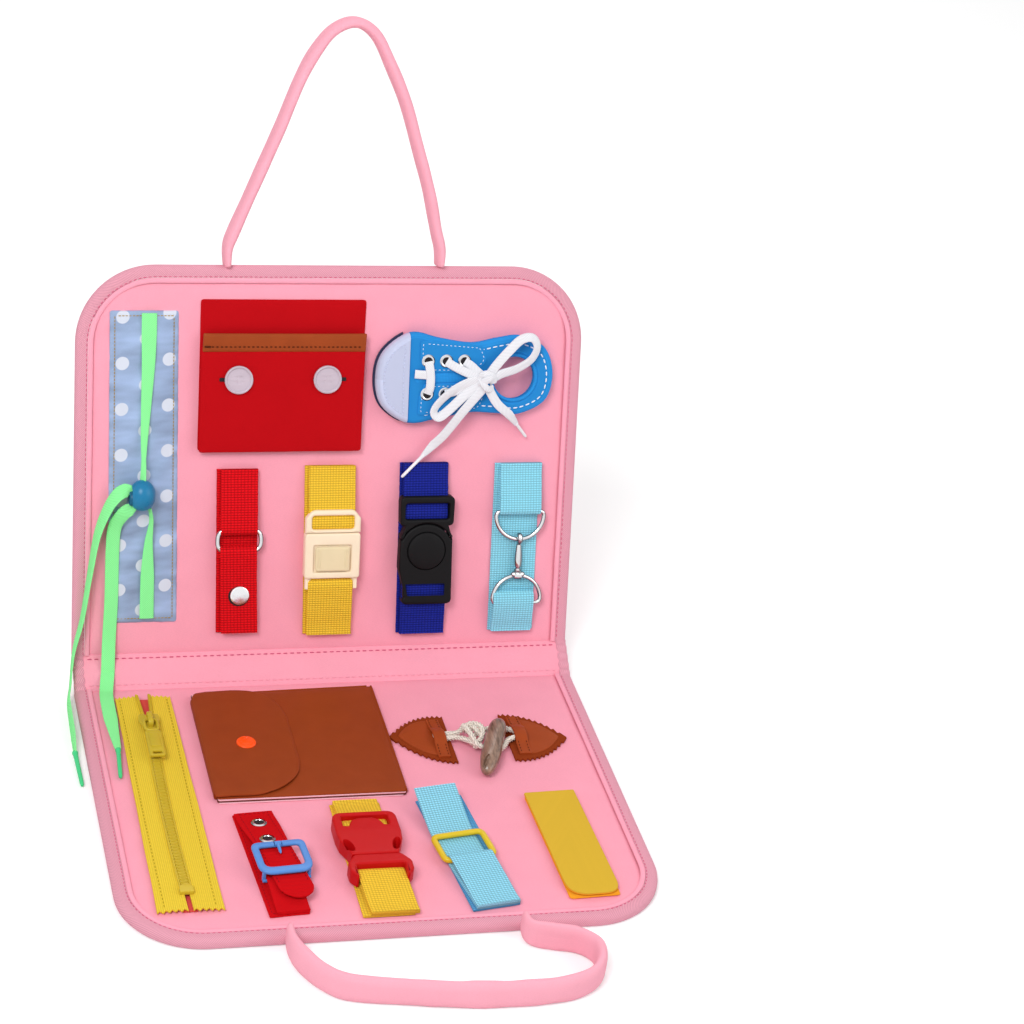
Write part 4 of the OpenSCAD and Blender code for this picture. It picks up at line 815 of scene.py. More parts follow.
def quilt(name, quad, h0, thick, cells=3.0, crown=0.0, ripple=0.0, edge_ripple=0.0, seed=0.0,
          trim=None, drop=0.0):
    """A soft cloth patch between four corners; its middle crowns and its edges ripple."""
    a, b, c, d = (Vector(p) for p in quad)
    nu = max(4, int(max((b - a).length, (c - d).length) / cells))
    nv = max(4, int(max((d - a).length, (c - b).length) / cells))
    points = []
    for j in range(nv + 1):
        for i in range(nu + 1):
            s, t = i / nu, j / nv
            p = (a * (1 - s) + b * s) * (1 - t) + (d * (1 - s) + c * s) * t
            if trim:
                p = trim(p)
            rim = min(s * (b - a).length, (1 - s) * (b - a).length,
                      t * (d - a).length, (1 - t) * (d - a).length)
            h = (crown * (1 - (2 * s - 1) ** 4) * (1 - (2 * t - 1) ** 4)
                 - drop * math.exp(-rim / 2.5))
            h += ripple * noise.noise(Vector((p.x * 0.06, p.y * 0.06, seed)))
            near = math.exp(-rim / 5)
            wave = (p.x + p.y * 1.2) * 0.9 + 2 * noise.noise(p.to_3d() * 0.1)
            h += edge_ripple * near * math.sin(wave)
            points.append((p.x, p.y, h0 + thick + h))
    faces = grid(nu, nv)
    obj = from_faces(name, points, faces, [[points[k][:2] for k in face] for face in faces])
    if obj.data.polygons[0].normal.z < 0:
        obj.data.flip_normals()
    mend(obj, 0.02, False)
    apply(obj, "SOLIDIFY", thickness=thick, offset=-1)
    apply(obj, "SUBSURF", levels=1, render_levels=1)
    return obj


def stitches(name, lines, seat, look, pitch=3.2, length=2.1, width=0.6, high=0.4, body=None):
    """Sewn stitches along lines of (u, v, h) points."""
    rings = ((-0.5, 0.35, 0.05), (-0.28, 1, 0.85), (0.28, 1, 0.85), (0.5, 0.35, 0.05))
    verts, faces = [], []
    for line in lines:
        path = even([Vector(p) for p in line], pitch)
        for a, b in zip(path, path[1:]):
            along = (b - a).normalized()
            side = along.cross(Vector((0, 0, 1))).normalized()
            mid = (a + b) / 2
            base = len(verts)
            for s, wide, up in rings:
                for x, z in ((-0.5, 0), (-0.3, 0.8), (0.3, 0.8), (0.5, 0)):
                    verts.append(mid + along * s * length + side * x * width * wide
                                 + Vector((0, 0, z * high * up)))
            for r in range(3):
                for k in range(4):
                    m = (k + 1) % 4
                    faces.append([base + 4 * r + k, base + 4 * r + m,
                                  base + 4 * r + 4 + m, base + 4 * r + 4 + k])
            faces.append([base + k for k in range(4)])
            faces.append([base + 12 + k for k in (3, 2, 1, 0)])
    obj = from_faces(name, verts, faces)
    mend(obj)
    put(obj, seat, look, body=body, angle=60)


def halve(obj, at, towards):
    """Cuts away what lies beyond a plane and closes the cut."""
    grab(obj)
    bpy.ops.object.mode_set(mode="EDIT")
    bpy.ops.mesh.select_all(action="SELECT")
    bpy.ops.mesh.bisect(plane_co=at, plane_no=towards, use_fill=True, clear_outer=True)
    bpy.ops.object.mode_set(mode="OBJECT")


def turned(name, u, v, profile, count=40):
    """Turns a profile of (radius, height) rings about an upright line."""
    bpy.ops.object.select_all(action="DESELECT")
    radius, height = profile[0]
    bpy.ops.mesh.primitive_circle_add(vertices=count, radius=radius, location=(u, v, height),
                                      fill_type="NGON")
    obj = bpy.context.active_object
    obj.name = name
    bpy.ops.object.transform_apply(location=True, rotation=True, scale=True)
    bpy.ops.object.mode_set(mode="EDIT")
    bpy.ops.mesh.select_all(action="SELECT")
    for r, h in profile[1:]:
        bpy.ops.mesh.extrude_region_move(TRANSFORM_OT_translate={"value": (0, 0, h - height)})
        bpy.ops.transform.resize(value=(r / radius, r / radius, 1), center_override=(u, v, h))
        radius, height = r, h
    bpy.ops.object.mode_set(mode="OBJECT")
    mend(obj)
    return obj


def sphere(name, radius, segments, rings, at=(0, 0, 0)):
    """A ball at a place."""
    bpy.ops.object.select_all(action="DESELECT")
    bpy.ops.mesh.primitive_uv_sphere_add(segments=segments, ring_count=rings, radius=radius,
                                         location=at)
    obj = bpy.context.active_object
    obj.name = name
    bpy.ops.object.transform_apply(location=True, rotation=True, scale=True)
    return obj


def cut(obj, *cutters):
    """Takes the shapes of other solids out of a piece."""
    for cutter in cutters:
        apply(obj, "BOOLEAN", object=cutter, operation="DIFFERENCE", solver="EXACT")
        bpy.data.objects.remove(cutter)


def frame_path(u, v, w, l, corner, h, step=1.2, count=8):
    """The closed middle line of a rounded oblong frame, its points an even step apart."""
    line = [Vector((p[0], p[1], h)) for p in box_outline(u, v, w, l, corner, count)]
    return even(line, step, True)[:-1]


def inset(path, by):
    """A closed outline drawn in by a width."""
    out, n = [], len(path)
    turn = sum(path[i - 1][0] * path[i][1] - path[i][0] * path[i - 1][1] for i in range(n))
    for i in range(n):
        a, b = Vector(path[i - 1]), Vector(path[(i + 1) % n])
        d = (b - a).normalized()
        side = Vector((-d.y, d.x)) if turn > 0 else Vector((d.y, -d.x))
        out.append(Vector(path[i][:2]) + side * by)
    return out


def strap(name, u, width, profile, seat, look, nodes=(), body=None, thick=WEB_T, slant=0.0):
    """Webbing whose middle line follows a profile of (v, h) points."""
    start = profile[0][0]
    path = smooth([(u + slant * (v - start), v, h) for v, h in profile], 4)
    path = even(path, 2.0) + [path[-1]]
    band = sweep(name, path, oval(width, thick, 20, 6), flat=True)
    for vert in band.data.vertices:
        vert.co.x += 0.12 * noise.noise(vert.co * 0.35)
        vert.co.z += 0.08 * noise.noise(vert.co * 0.12)
    put(band, seat, look, nodes, body, angle=50)


def sewn(*places):
    """The profile of webbing that lies flat on the page."""
    return [(v, SEWN_H) for v in places]


def cross_bar(name, v, across, h=BAR_H, thick=2.4, count=14):
    """A round bar across a buckle."""
    return sweep(name, [Vector((u, v, h)) for u in across], oval(thick, thick, count))


def bar_loop(bar_v, reach_v, bar_h=BAR_H, far=3.3, r=2.25):
    """The line of webbing folded round a bar, from its lower sewn end to its upper one."""
    way, reach = (1 if reach_v > bar_v else -1), abs(reach_v - bar_v)
    line = [(reach, 1.97), (reach * 0.5, 2.0), (2.5, 2.1), (0.4, bar_h - r),
            (-r * 0.75, bar_h - r * 0.65), (-r, bar_h), (-r * 0.75, bar_h + r * 0.65),
            (0.4, bar_h + r), (3.2, bar_h + r - 0.15),
            (reach * 0.55, far + (bar_h + r - far) * 0.42), (reach - 6, far + 0.15), (reach, far)]
    return [(bar_v + way * s, h) for s, h in line]


def lace(name, points, place, look, width, thick, up0=(0, 0, 1), up1=(0, 0, 1), start=1.0,
         finish=1.0, ends=(None, None), bend=1.0):
    """A flat lace along a curve, with the line that its middle follows in metres."""
    steps = 8
    path = smooth(points, steps)
    last = len(path) - 1
    turns = [(i / last) ** bend for i in range(last + 1)]
    ups = [(Vector(up0) * (1 - t) + Vector(up1) * t).normalized() for t in turns]
    size = [((start + (1 - start) * min(1, i / steps))
             * (finish + (1 - finish) * min(1, (last - i) / steps)), 1) for i in range(last + 1)]
    obj = sweep(name, path, oval(width, thick, 14, 3), up=ups, size=size, ends=ends)
    lay(obj, place, look, 60)
    return obj, [place @ p for p in path]


def tip(name, a, b, seat, look, r=1.3):
    """The hard tip pressed on a lace's end."""
    a, b = Vector(a), Vector(b)
    path = [a + (b - a) * t for t in (0, 0.03, 0.1, 0.3, 0.6, 0.9, 0.97, 1)]
    size = [(s, s) for s in (1.3, 1.35, 1.08, 1.0, 0.97, 0.93, 0.8, 0.5)]
    obj = sweep(name, path, oval(2 * r, 2 * r, 12), size=size)
    return put(obj, seat, look, angle=50)


# ---- free ends of the laces ----

MEET = Vector((0, math.cos(HALF_FOLD), -math.sin(HALF_FOLD)))


def over_spine(u, d):
    """A point d above the middle of the spine, the same in both panels' (u, v, h)."""
    return (u, d * math.sin(HALF_FOLD) - SPINE_W / 2 * math.cos(HALF_FOLD),
            d * math.cos(HALF_FOLD) + SPINE_W / 2 * math.sin(HALF_FOLD))


def hang_tail(letter, up_points, low_points, tip_line, faces):
    """One tail of the drawstring: over the upper panel, the spine and the lower panel."""
    upper, route = lace("tail_" + letter + "_upper", up_points, UPPER, "mint_lace", 8, 1.1,
                        faces[0], faces[1], start=0.38, ends=(None, tuple(-MEET)),
                        bend=0.45 if letter == "a" else 1.0)
    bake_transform(upper)
    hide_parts("lace_tail_" + letter + "_up")
    lower, route = lace("tail_" + letter + "_lower", low_points, LOWER, "mint_lace", 8, 1.1,
                        faces[1], faces[2], finish=0.4, ends=(tuple(MEET), None))
    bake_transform(lower)
    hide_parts("lace_tail_" + letter + "_low")
    end = tip("tail_" + letter + "_tip", *tip_line, ON_LOWER, "mint_tip")


UP, LEFT = (0, 0, 1), (-1, 0, 0)
hang_tail("a", [(-116.8, 101.6, 9.3), (-121.4, 101.4, 9.6), (-126.4, 98.4, 9.5), (-131.6, 90, 8),
                (-137, 74, 5.4), (-141, 50, 4.8), (-145, 24, 4.8), (-149.4, 6, 5.2),
                over_spine(-151.4, 3)],
          [over_spine(-151.4, 3), (-152.6, 1, 4), (-154.4, 10, 0.4), (-154.8, 24, -1.2),
           (-155.2, 42, -1.4), (-155.8, 58, -2.4)],
          ((-155.8, 57, -2.6), (-154.8, 86, -4.4)), (UP, LEFT, (-1, 0, 0.25)))
hang_tail("b", [(-115.6, 91.4, 9), (-119.4, 89.6, 8.8), (-123, 86.4, 7.8), (-127, 78, 4.4),
                (-127.8, 62, 2.4), (-128, 34, 2.1), (-129, 10, 2), over_spine(-130, 0.8)],
          [over_spine(-130, 0.8), (-132, 4, 2.4), (-133, 14, 3), (-133.2, 34, 2.9),
           (-132.6, 64, 2.8)],
          ((-132.6, 63.4, 2.9), (-134.2, 88, 1.6)), (UP, UP, UP))


def shoe_end(name, points, tip_line):
    """A loose end of the shoe's lace, with its tip."""
    end, route = lace(name, points, UPPER, "white_lace", 5.4, 1.3, finish=0.5)
    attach(end, "upper_panel")
    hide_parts("shoe_lace_ends")
    cap = tip(name + "_tip", *tip_line, ON_UPPER, "white_tip", 1.0)


shoe_end("shoe_end_low", [(86.8, 160.1, 13), (76, 147, 12.3), (66, 132, 8), (60, 125, 5.4),
                          (54, 118.5, 5.1)], ((54.5, 119, 5.1), (41.6, 105.6, 5.2)))
shoe_end("shoe_end_right", [(90.1, 160.1, 13), (96, 151, 12.4), (104, 144, 11), (110, 137.2, 6.8)],
         ((109.4, 137.9, 7.2), (117.4, 128.6, 2.6)))


# ---- panels, binding and spine ----

def edge_line(inside, h=0.0, step=2.0):
    """The line a given way inside a panel's outer edge, from its left fold corner to its right."""
    half, top, r = PANEL_W / 2 - inside, PANEL_H - inside, CORNER_R - inside
    pts = [Vector((-half, 0.2, h)), Vector((-half, top - r, h))]
    pts += [Vector((-half + r - r * math.cos(a), top - r + r * math.sin(a), h))
            for a in (math.pi / 2 * k / 24 for k in range(1, 24))]
    pts += [Vector((-half + r, top, h)), Vector((half - r, top, h))]
    pts += [Vector((half - r + r * math.sin(a), top - r + r * math.cos(a), h))
            for a in (math.pi / 2 * k / 24 for k in range(1, 24))]
    pts += [Vector((half, top - r, h)), Vector((half, 0.2, h))]
    return even(pts, step) + [pts[-1]]


def inside_panel(inside):
    """Draws a patch's points in to a line a given way inside the panel's rounded edge."""
    half, top, r = PANEL_W / 2 - inside, PANEL_H - inside, CORNER_R - inside

    def trim(p):
        c = Vector((math.copysign(half - r, p.x), top - r))
        if abs(p.x) > half - r and p.y > top - r and (p - c).length > r:
            return c + (p - c).normalized() * r
        return p
    return trim


def dress_panel(side, seat):
    """The felt page and cover of a panel, its bound edge and the strip along it."""
    soft = 8.6
    half = PANEL_W / 2 - soft
    quad = [(-half, -1.6), (half, -1.6), (half, PANEL_H - soft), (-half, PANEL_H - soft)]
    page = quilt(side + "_page_cloth", quad, -1.75, 1.5, 3.2, 0.12, 0.35, 0.12, 3.0,
                 inside_panel(soft), drop=1.1)
    put(page, seat, "page_felt", side + "_page")
    cover = quilt(side + "_cover_cloth", quad, -5.7, 1.5, 3.2, 0.0, 0.3, 0.1, 7.0,
                  inside_panel(soft), drop=-0.9)
    for vert in cover.data.vertices:
        vert.co.z = max(vert.co.z, -PANEL_T + 0.02)
    put(cover, seat, "cover_felt", side + "_cover")
    section = [(-BINDING_W, -0.3), (-BINDING_W + 0.1, 0.3), (-5.2, 0.62), (-3, 0.6), (-1.3, 0.2),
               (-0.3, -0.9), (0, -2.2), (0, -3.8), (-0.3, -5), (-1.4, -5.8), (-3, -5.98),
               (-BINDING_W, -5.98)]
    line = edge_line(0)
    tape = sweep(side + "_tape", line, [(-s, h) for s, h in section])
    for vert in tape.data.vertices:
        if vert.co.z > -0.5:
            wave = 0.06 * math.sin(vert.co.x + vert.co.y)
            vert.co.z += 0.16 * noise.noise(vert.co * 0.11) + wave
    put(tape, seat, "binding_tape", side + "_binding")
    strip = sweep(side + "_welt", edge_line(BINDING_W + 1.5), oval(2.9, 1.3, 10, 3))
    put(strip, seat, "pink_strip")
    stitches(side + "_edge_seam", [edge_line(6.3, 0.42, 1.5)], seat, "pink_thread", 2.9, 1.9, 0.55,
             0.4)


dress_panel("lower", ON_LOWER)
dress_panel("upper", ON_UPPER)


def dress_spine():
    """The cloth between the panels, its end tapes, rolled fold lines and seams."""
    nu, nv = 150, 12
    half = PANEL_W / 2 - 0.4
    points = []
    for j in range(nv + 1):
        for i in range(nu + 1):
            u, y = -half + 2 * half * i / nu, -0.6 + (SPINE_W + 1.2) * j / nv
            t = y / SPINE_W
            h = -0.7 + 0.9 * math.sin(math.pi * max(0, min(1, t))) ** 0.6
            gather = math.exp(-(half + u) / 9) + 0.6 * math.exp(-(half - u) / 7)
            h += 0.35 * noise.noise(Vector((u * 0.05, y * 0.25, 4.0)))
            h += gather * 0.8 * math.sin(u * 1.3 + y * 0.5)
            points.append((u, y, h))
    cloth = from_faces("spine_fabric", points, grid(nu, nv))
    apply(cloth, "SOLIDIFY", thickness=1.7, offset=-1)
    apply(cloth, "SUBSURF", levels=1, render_levels=1)
    put(cloth, ON_SPINE, "page_felt", "spine_cloth")
    for sign, name in ((-1, "left"), (1, "right")):
        line = [(sign * (PANEL_W / 2 - 3.4), -1.0 + (SPINE_W + 2.0) * k / 14,
                 -1.0 + 0.5 * math.sin(k * 1.9)) for k in range(15)]
        tape = sweep("spine_end_" + name, smooth(line, 3), oval(6.8, 3.6, 12, 3))
        put(tape, ON_SPINE, "binding_tape")
    # a rolled edge on each fold line keeps the cloth closed as the board folds
    for y, name in ((0.0, "low"), (SPINE_W, "top")):
        roll = sweep("spine_roll_" + name, [(-half + 2 * half * k / 60, y, -2.0)
                                            for k in range(61)], oval(3.4, 3.4, 12, 2))
        put(roll, ON_SPINE, "page_felt")
    stitches("spine_seam", [[(-142, 18.6, 0.1), (142, 18.6, 0.1)]], ON_SPINE, "pink_thread", 4.0,
             2.6, 0.7, 0.6)
    stitches("spine_low_seam", [[(-142, 2.4, 0.0), (142, 2.4, 0.0)]], ON_SPINE, "pink_strip", 4.0,
             2.4, 0.7, 0.6)


dress_spine()

# ---- carry handles ----

UPPER_ROUTE = [(-64, 229), (-64, 240), (-61, 249), (-50, 275), (-36, 308), (-25, 336), (-16, 353),
               (-6, 365), (6.5, 369.5), (18, 363), (27, 347), (37, 325), (45, 300), (53, 274),
               (58, 252), (61, 240), (61, 229)]
LOWER_ROUTE = [(-64, 229), (-64, 240), (-60, 253), (-52, 266), (-40, 275), (-12, 281), (18, 286),
               (50, 288), (74, 286), (88, 280), (95, 270), (96, 258), (88, 249), (76, 245),
               (64, 240), (63, 229)]


def dress_handle(name, route, seat, mid, low):
    """A stuffed felt handle along a route; nothing of it lies lower than low."""
    path = even(smooth([(u, v, mid) for u, v in route], 8), 2.0)
    total = len(path)
    size = []
    for i, p in enumerate(path):
        end = min(i, total - 1 - i) / 8
        flat = max(0.0, 1 - end)
        puff = 1 + 0.1 * noise.noise(p * 0.06)
        size.append((max(0.55, (0.92 + 0.1 * noise.noise(p * 0.05)) * (1 - 0.35 * flat)),
                     puff * (1 - 0.1 * flat)))
    section = [(s * (1 - 0.18 * math.exp(-(t / 1.8) ** 2)), t) for s, t in oval(7, 16.6, 20, 2.6)]
    band = sweep(name + "_band", path, section, size=size)
    for vert in band.data.vertices:
        vert.co.z = max(vert.co.z + 0.25 * noise.noise(vert.co * 0.12), low)
    apply(band, "SUBSURF", levels=1, render_levels=1)
    put(band, seat, "handle_felt", name + "_handle", name + "_handle", angle=60)


dress_handle("upper", UPPER_ROUTE, ON_UPPER, -3, -40)
dress_handle("lower", LOWER_ROUTE, ON_LOWER, 2.5, -5.95)

# ---- drawstring on its dotted patch ----

def dress_drawstring():
    """The satin patch, the two strands sewn on it and the cord lock."""
    quad = [(-129.8, 19.4), (-89.2, 19.3), (-91.4, 204.4), (-131.2, 204.3)]
    patch = quilt("dotted_patch_satin", quad, 0.1, 1.0, 2.6, 0.5, 0.5, 0.35, 11.0, drop=0.6)
    for vert in patch.data.vertices:
        fold = Vector(((vert.co.x - vert.co.y * 0.6) * 0.1, (vert.co.y + vert.co.x) * 0.03, 5))
        middle = max(0.0, 1 - (abs(vert.co.x + 110.3) / 18) ** 3)
        vert.co.z += middle * (0.5 + 1.1 * noise.noise(fold)) if vert.co.z > 0.5 else 0
    for loop in patch.data.uv_layers[0].data:
        loop.uv = (loop.uv[0] + 110.2, loop.uv[1] - 133.5 - 0.09 * (loop.uv[0] + 125))
    put(patch, ON_UPPER, "dotted_satin", "dotted_patch")
    a, b, c, d = (Vector(p) for p in quad)
    rim = [a + Vector((3, 3)), b + Vector((-3, 3)), c + Vector((-3, -3)), d + Vector((3, -3))]
    lines = [[(p.x, p.y, 1.35), (q.x, q.y, 1.35)] for p, q in zip(rim, rim[1:] + rim[:1])]
    stitches("patch_seam", lines, ON_UPPER, "olive_thread", 2.0, 1.6, 0.5, 0.4)
    # each strand is rolled up where it comes out of the lock and lies flat at its sewn end
    for name, points, widths, turn in (
            ("lace_above", [(-112, 103.4, 10.2), (-111.4, 112, 8.2), (-110.8, 128, 4.8),
                            (-109.8, 150, 3.2), (-108.8, 176, 2.9), (-108.7, 203, 2.4)],
             ((0, 0.6), (0.12, 0.5), (0.3, 0.36), (0.6, 0.75), (0.9, 1.1), (1, 1.1)), 0.9),
            ("lace_below", [(-107.6, 90.4, 8.9), (-106.1, 82, 6.4), (-107.2, 68, 4.4),
                            (-107.4, 48, 3.2), (-107.3, 22.6, 2.4)],
             ((0, 0.3), (0.3, 0.34), (0.55, 0.7), (0.75, 1.0), (1, 1.04)), -0.9)):
        path = smooth(points, 8)
        last = len(path) - 1
        roll, size = [], []
        for i in range(last + 1):
            t = i / last
            near = max(k for k, (spot, _) in enumerate(widths[:-1]) if t >= spot)
            (t0, w0), (t1, w1) = widths[near], widths[near + 1]
            size.append((w0 + (w1 - w0) * (t - t0) / (t1 - t0), 1.0))
            roll.append(turn * math.exp(-(t * 3) ** 2))
        strand = sweep(name, path, oval(8, 1.1, 14, 3), twist=roll, size=size)
        put(strand, ON_UPPER, "mint_lace", "lace_strands" if name == "lace_above" else (),
            angle=60)
    lock_at = Matrix.Translation((-112, 96.5, 9.3)) @ Matrix.Rotation(math.pi / 2, 4, "Y")
    ball = sphere("lock_ball", 7.8, 48, 32)
    halve(ball, (0, 0, -6.4), (0, 0, -1))
    bore = turned("bore", 0, 0, [(4.75, -9), (4.75, 2.5)])
    cut(ball, bore)
    apply(ball, "BEVEL", width=0.35, segments=2, limit_method="ANGLE", angle_limit=0.6)
    ball.data.transform(lock_at @ Matrix.Translation((0, 1.6, 0))
                        @ Matrix.Diagonal((1, 1.18, 1, 1)))
    put(ball, ON_UPPER, "teal_plastic", "lock_body")
    # the plunger takes the darker teal: painted shade in the bore
    push = turned("lock_push", 0, 0, [(3.1, 1.5), (4.4, 1.5), (4.45, -6.6), (4.1, -7.3),
                                      (3.5, -7.6), (3.0, -7.3), (2.8, -5.6), (0.5, -5.4)])
    push.data.transform(lock_at)
    put(push, ON_UPPER, "teal_inside", "lock_plunger", body="lock_plunger")


dress_drawstring()


# ---- button pouch ----

def dress_pouch():
    """The pouch's back and its buttoned flap with a hide trim."""
    back = quilt("pouch_back_felt", [(-79.6, 121.8), (16.4, 121.6), (18.0, 210.8), (-79.3, 211.0)],
                 0.05, 1.5, 3.0, 0.25, 0.35, 0.1, 21.0, drop=0.5)
    put(back, ON_UPPER, "red_felt", "pouch_back")
    flap = quilt("pouch_flap_felt", [(-79.4, 121.6), (16.6, 121.6), (17.4, 184.6), (-79.2, 184.8)],
                 4.3, 1.5, 3.0, 0.5, 0.4, 0.15, 23.0, drop=0.3)
    put(flap, ON_UPPER, "red_felt", "pouch_flap", body="pouch_flap")
    trim = quilt("pouch_trim", [(-78.6, 181.0), (17.4, 180.8), (17.8, 191.9), (-78.2, 192.2)],
                 4.9, 1.9, 1.6, 0.35, 0.15, 0.05, 25.0, drop=0.5)
    put(trim, ON_UPPER, "tan_trim", body="pouch_flap")
    stitches("pouch_trim_seam", [[(-74, 184.3, 7.05), (16, 184.0, 7.05)]], ON_UPPER,
             "brown_thread", 2.6, 1.5, 0.75, 0.45, body="pouch_flap")
    stitches("pouch_trim_knot", [[(-77.4, 184.4, 7.0), (-73.4, 184.3, 7.1)]], ON_UPPER,
             "brown_thread", 1.2, 1.4, 1.1, 0.6, body="pouch_flap")
    mid = 165.0
    for side, u, out in (("left", -57.2, -1), ("right", -5.2, 1)):
        # each slit is a dark sheet: painted shade where the flap is cut through
        slit = slab("pouch_slit_" + side, [box_outline(u + out * 1.4, mid, 19.6, 2.2, 0.8)], 5.9,
                    6.55, 0.1)
        put(slit, ON_UPPER, "dark_hole", body="pouch_flap")
        spots = [(u + 2.2 * math.cos(a), mid + 2.2 * math.sin(a))
                 for a in (math.radians(d) for d in (40, 140, 220, 320))]
        disc = slab("pouch_button_" + side, [ring_outline(u, mid, 7.3, 40)]
                    + [ring_outline(*spot, 0.8, 12) for spot in spots], 6.4, 7.5, 0.25)
        rim = turned("rim", u, mid, [(6.4, 6.5), (8.1, 6.5), (8.35, 7.1), (8.2, 8.0), (7.6, 8.4),
                                     (7.0, 8.1), (6.6, 7.3)])
        button = join([disc, rim], "pouch_button_" + side)
        put(button, ON_UPPER, "button_white", "pouch_buttons" if side == "left" else (),
            body="pouch_flap")
        # dark plugs in the button's four holes: painted shade
        holes = [turned("hole", *spot, [(0.95, 6.6), (0.95, 7.25)], 12) for spot in spots]
        put(join(holes, "pouch_button_holes_" + side), ON_UPPER, "dark_hole", body="pouch_flap")


dress_pouch()


# ---- lacing shoe ----

SHOE_V, MOUTH_U = 165.6, 106.6


def dress_shoe():
    """The shoe's quarters, toe cap, flaps, tongue, collar, seams and eyelets."""
    outline = smooth([(p[0], p[1], 0) for p in (
        (23.7, 165), (28, 181), (44, 192.3), (62, 189), (81, 186.3), (97, 189.2), (111, 190.4),
        (126, 183), (131.4, 167), (127, 151), (111, 143), (96, 143.6), (81, 144.2), (62, 140.6),
        (44, 138.2), (28, 148.5))], 7, True)
    outline = [Vector(p[:2]) for p in outline]
    mouth = ring_outline(MOUTH_U, SHOE_V, 12.9, 40, 1.02)
    quarter = slab("shoe_quarters", [inset(outline, 0.2), mouth], 0, 7.6, 3.0, 4)
    halve(quarter, (43.4, 0, 0), (-1, 0, 0))
    put(quarter, ON_UPPER, "blue_canvas", "shoe_upper")
    toe = slab("shoe_toe", [outline], 0, 9, 3.6, 4)
    halve(toe, (43.0, 0, 0), (1, 0, 0))
    put(toe, ON_UPPER, "cap_canvas", "shoe_cap")
    sole = slab("shoe_sole_edge", [inset(outline, -0.9)], 0.1, 1.5, 0.4)
    halve(sole, (40, 0, 0), (1, 0, 0))
    put(sole, ON_UPPER, "sole_dark")
    for side, way in (("top", 1), ("bottom", -1)):
        flap = corners([(49.0, SHOE_V + way * 22.4, 2), (49.4, SHOE_V + way * 12, 1),
                        (52.6, SHOE_V + way * 3.4, 2), (82, SHOE_V + way * 3.0, 3),
                        (90.5, SHOE_V + way * 10, 5), (86.5, SHOE_V + way * 19.4, 2)], 5)
        panel = slab("shoe_flap_" + side, [flap], 7.3, 8.3, 0.45, 3)
        put(panel, ON_UPPER, "blue_canvas")
        line = [(p[0], p[1], 8.1) for p in inset(flap, 1.6)]
        stitches("shoe_flap_seam_" + side, [line + line[:1]], ON_UPPER, "white_thread", 2.6, 1.7,
                 0.45, 0.35)
    tongue = quilt("shoe_tongue", [(47, 162.6), (83, 162.2), (83, 169), (47, 168.8)], 6.9, 1.0,
                   1.6, 0.4, 0.3, 0.0, 31.0)
    put(tongue, ON_UPPER, "blue_canvas")
    rim = [Vector((p[0], p[1], 7.5)) for p in ring_outline(MOUTH_U, SHOE_V, 13.6, 48)]
    collar = sweep("shoe_collar", rim, oval(2.2, 1.7, 12), closed=True)
    put(collar, ON_UPPER, "blue_canvas")
    # the seam starts behind the gap where the cap is left out
    seam = [(p[0], p[1], 7.62) for p in inset(outline, 4.6) if p[0] > 49]
    gaps = [k + 1 for k, (a, b) in enumerate(zip(seam, seam[1:])) if math.dist(a, b) > 20] or [0]
    stitches("shoe_rim_seam", [seam[gaps[0]:] + seam[:gaps[0]]], ON_UPPER, "white_thread", 3.9,
             2.6, 0.75, 0.5)
    toe_line = [(p[0], p[1], 9.0) for p in inset(outline, 4.2) if p[0] < 41]
    toe_line = sorted(toe_line, key=lambda p: math.atan2(p[1] - 165.2, 44 - p[0]))
    stitches("shoe_toe_seam", [toe_line, [(40.2, 145, 9.02), (39.7, 155, 9.02), (39.5, 165, 9.02),
                                          (39.7, 175, 9.02), (40.2, 186, 9.02)]], ON_UPPER,
             "cap_canvas", 2.2, 1.2, 0.9, 0.5)
    for k in range(3):
        for way in (1, -1):
            u, v = 54.2 + 10.9 * k, 166 + way * 9.8
            name = "shoe_eyelet_%d_%s" % (k, "top" if way > 0 else "low")
            ring = turned(name, u, v, [(2.3, 8.0), (3.9, 8.0), (3.95, 8.7), (3.3, 9.3), (2.5, 9.1),
                                       (2.25, 8.2)], 28)
            put(ring, ON_UPPER, "steel", "shoe_eyelets" if (k, way) == (0, 1) else ())
            # a dark disc deep in each eyelet: painted shade in the hole
            hole = turned(name + "_hole", u, v, [(2.35, 7.9), (2.35, 8.6), (0.3, 8.58)], 20)
            put(hole, ON_UPPER, "dark_hole")


dress_shoe()


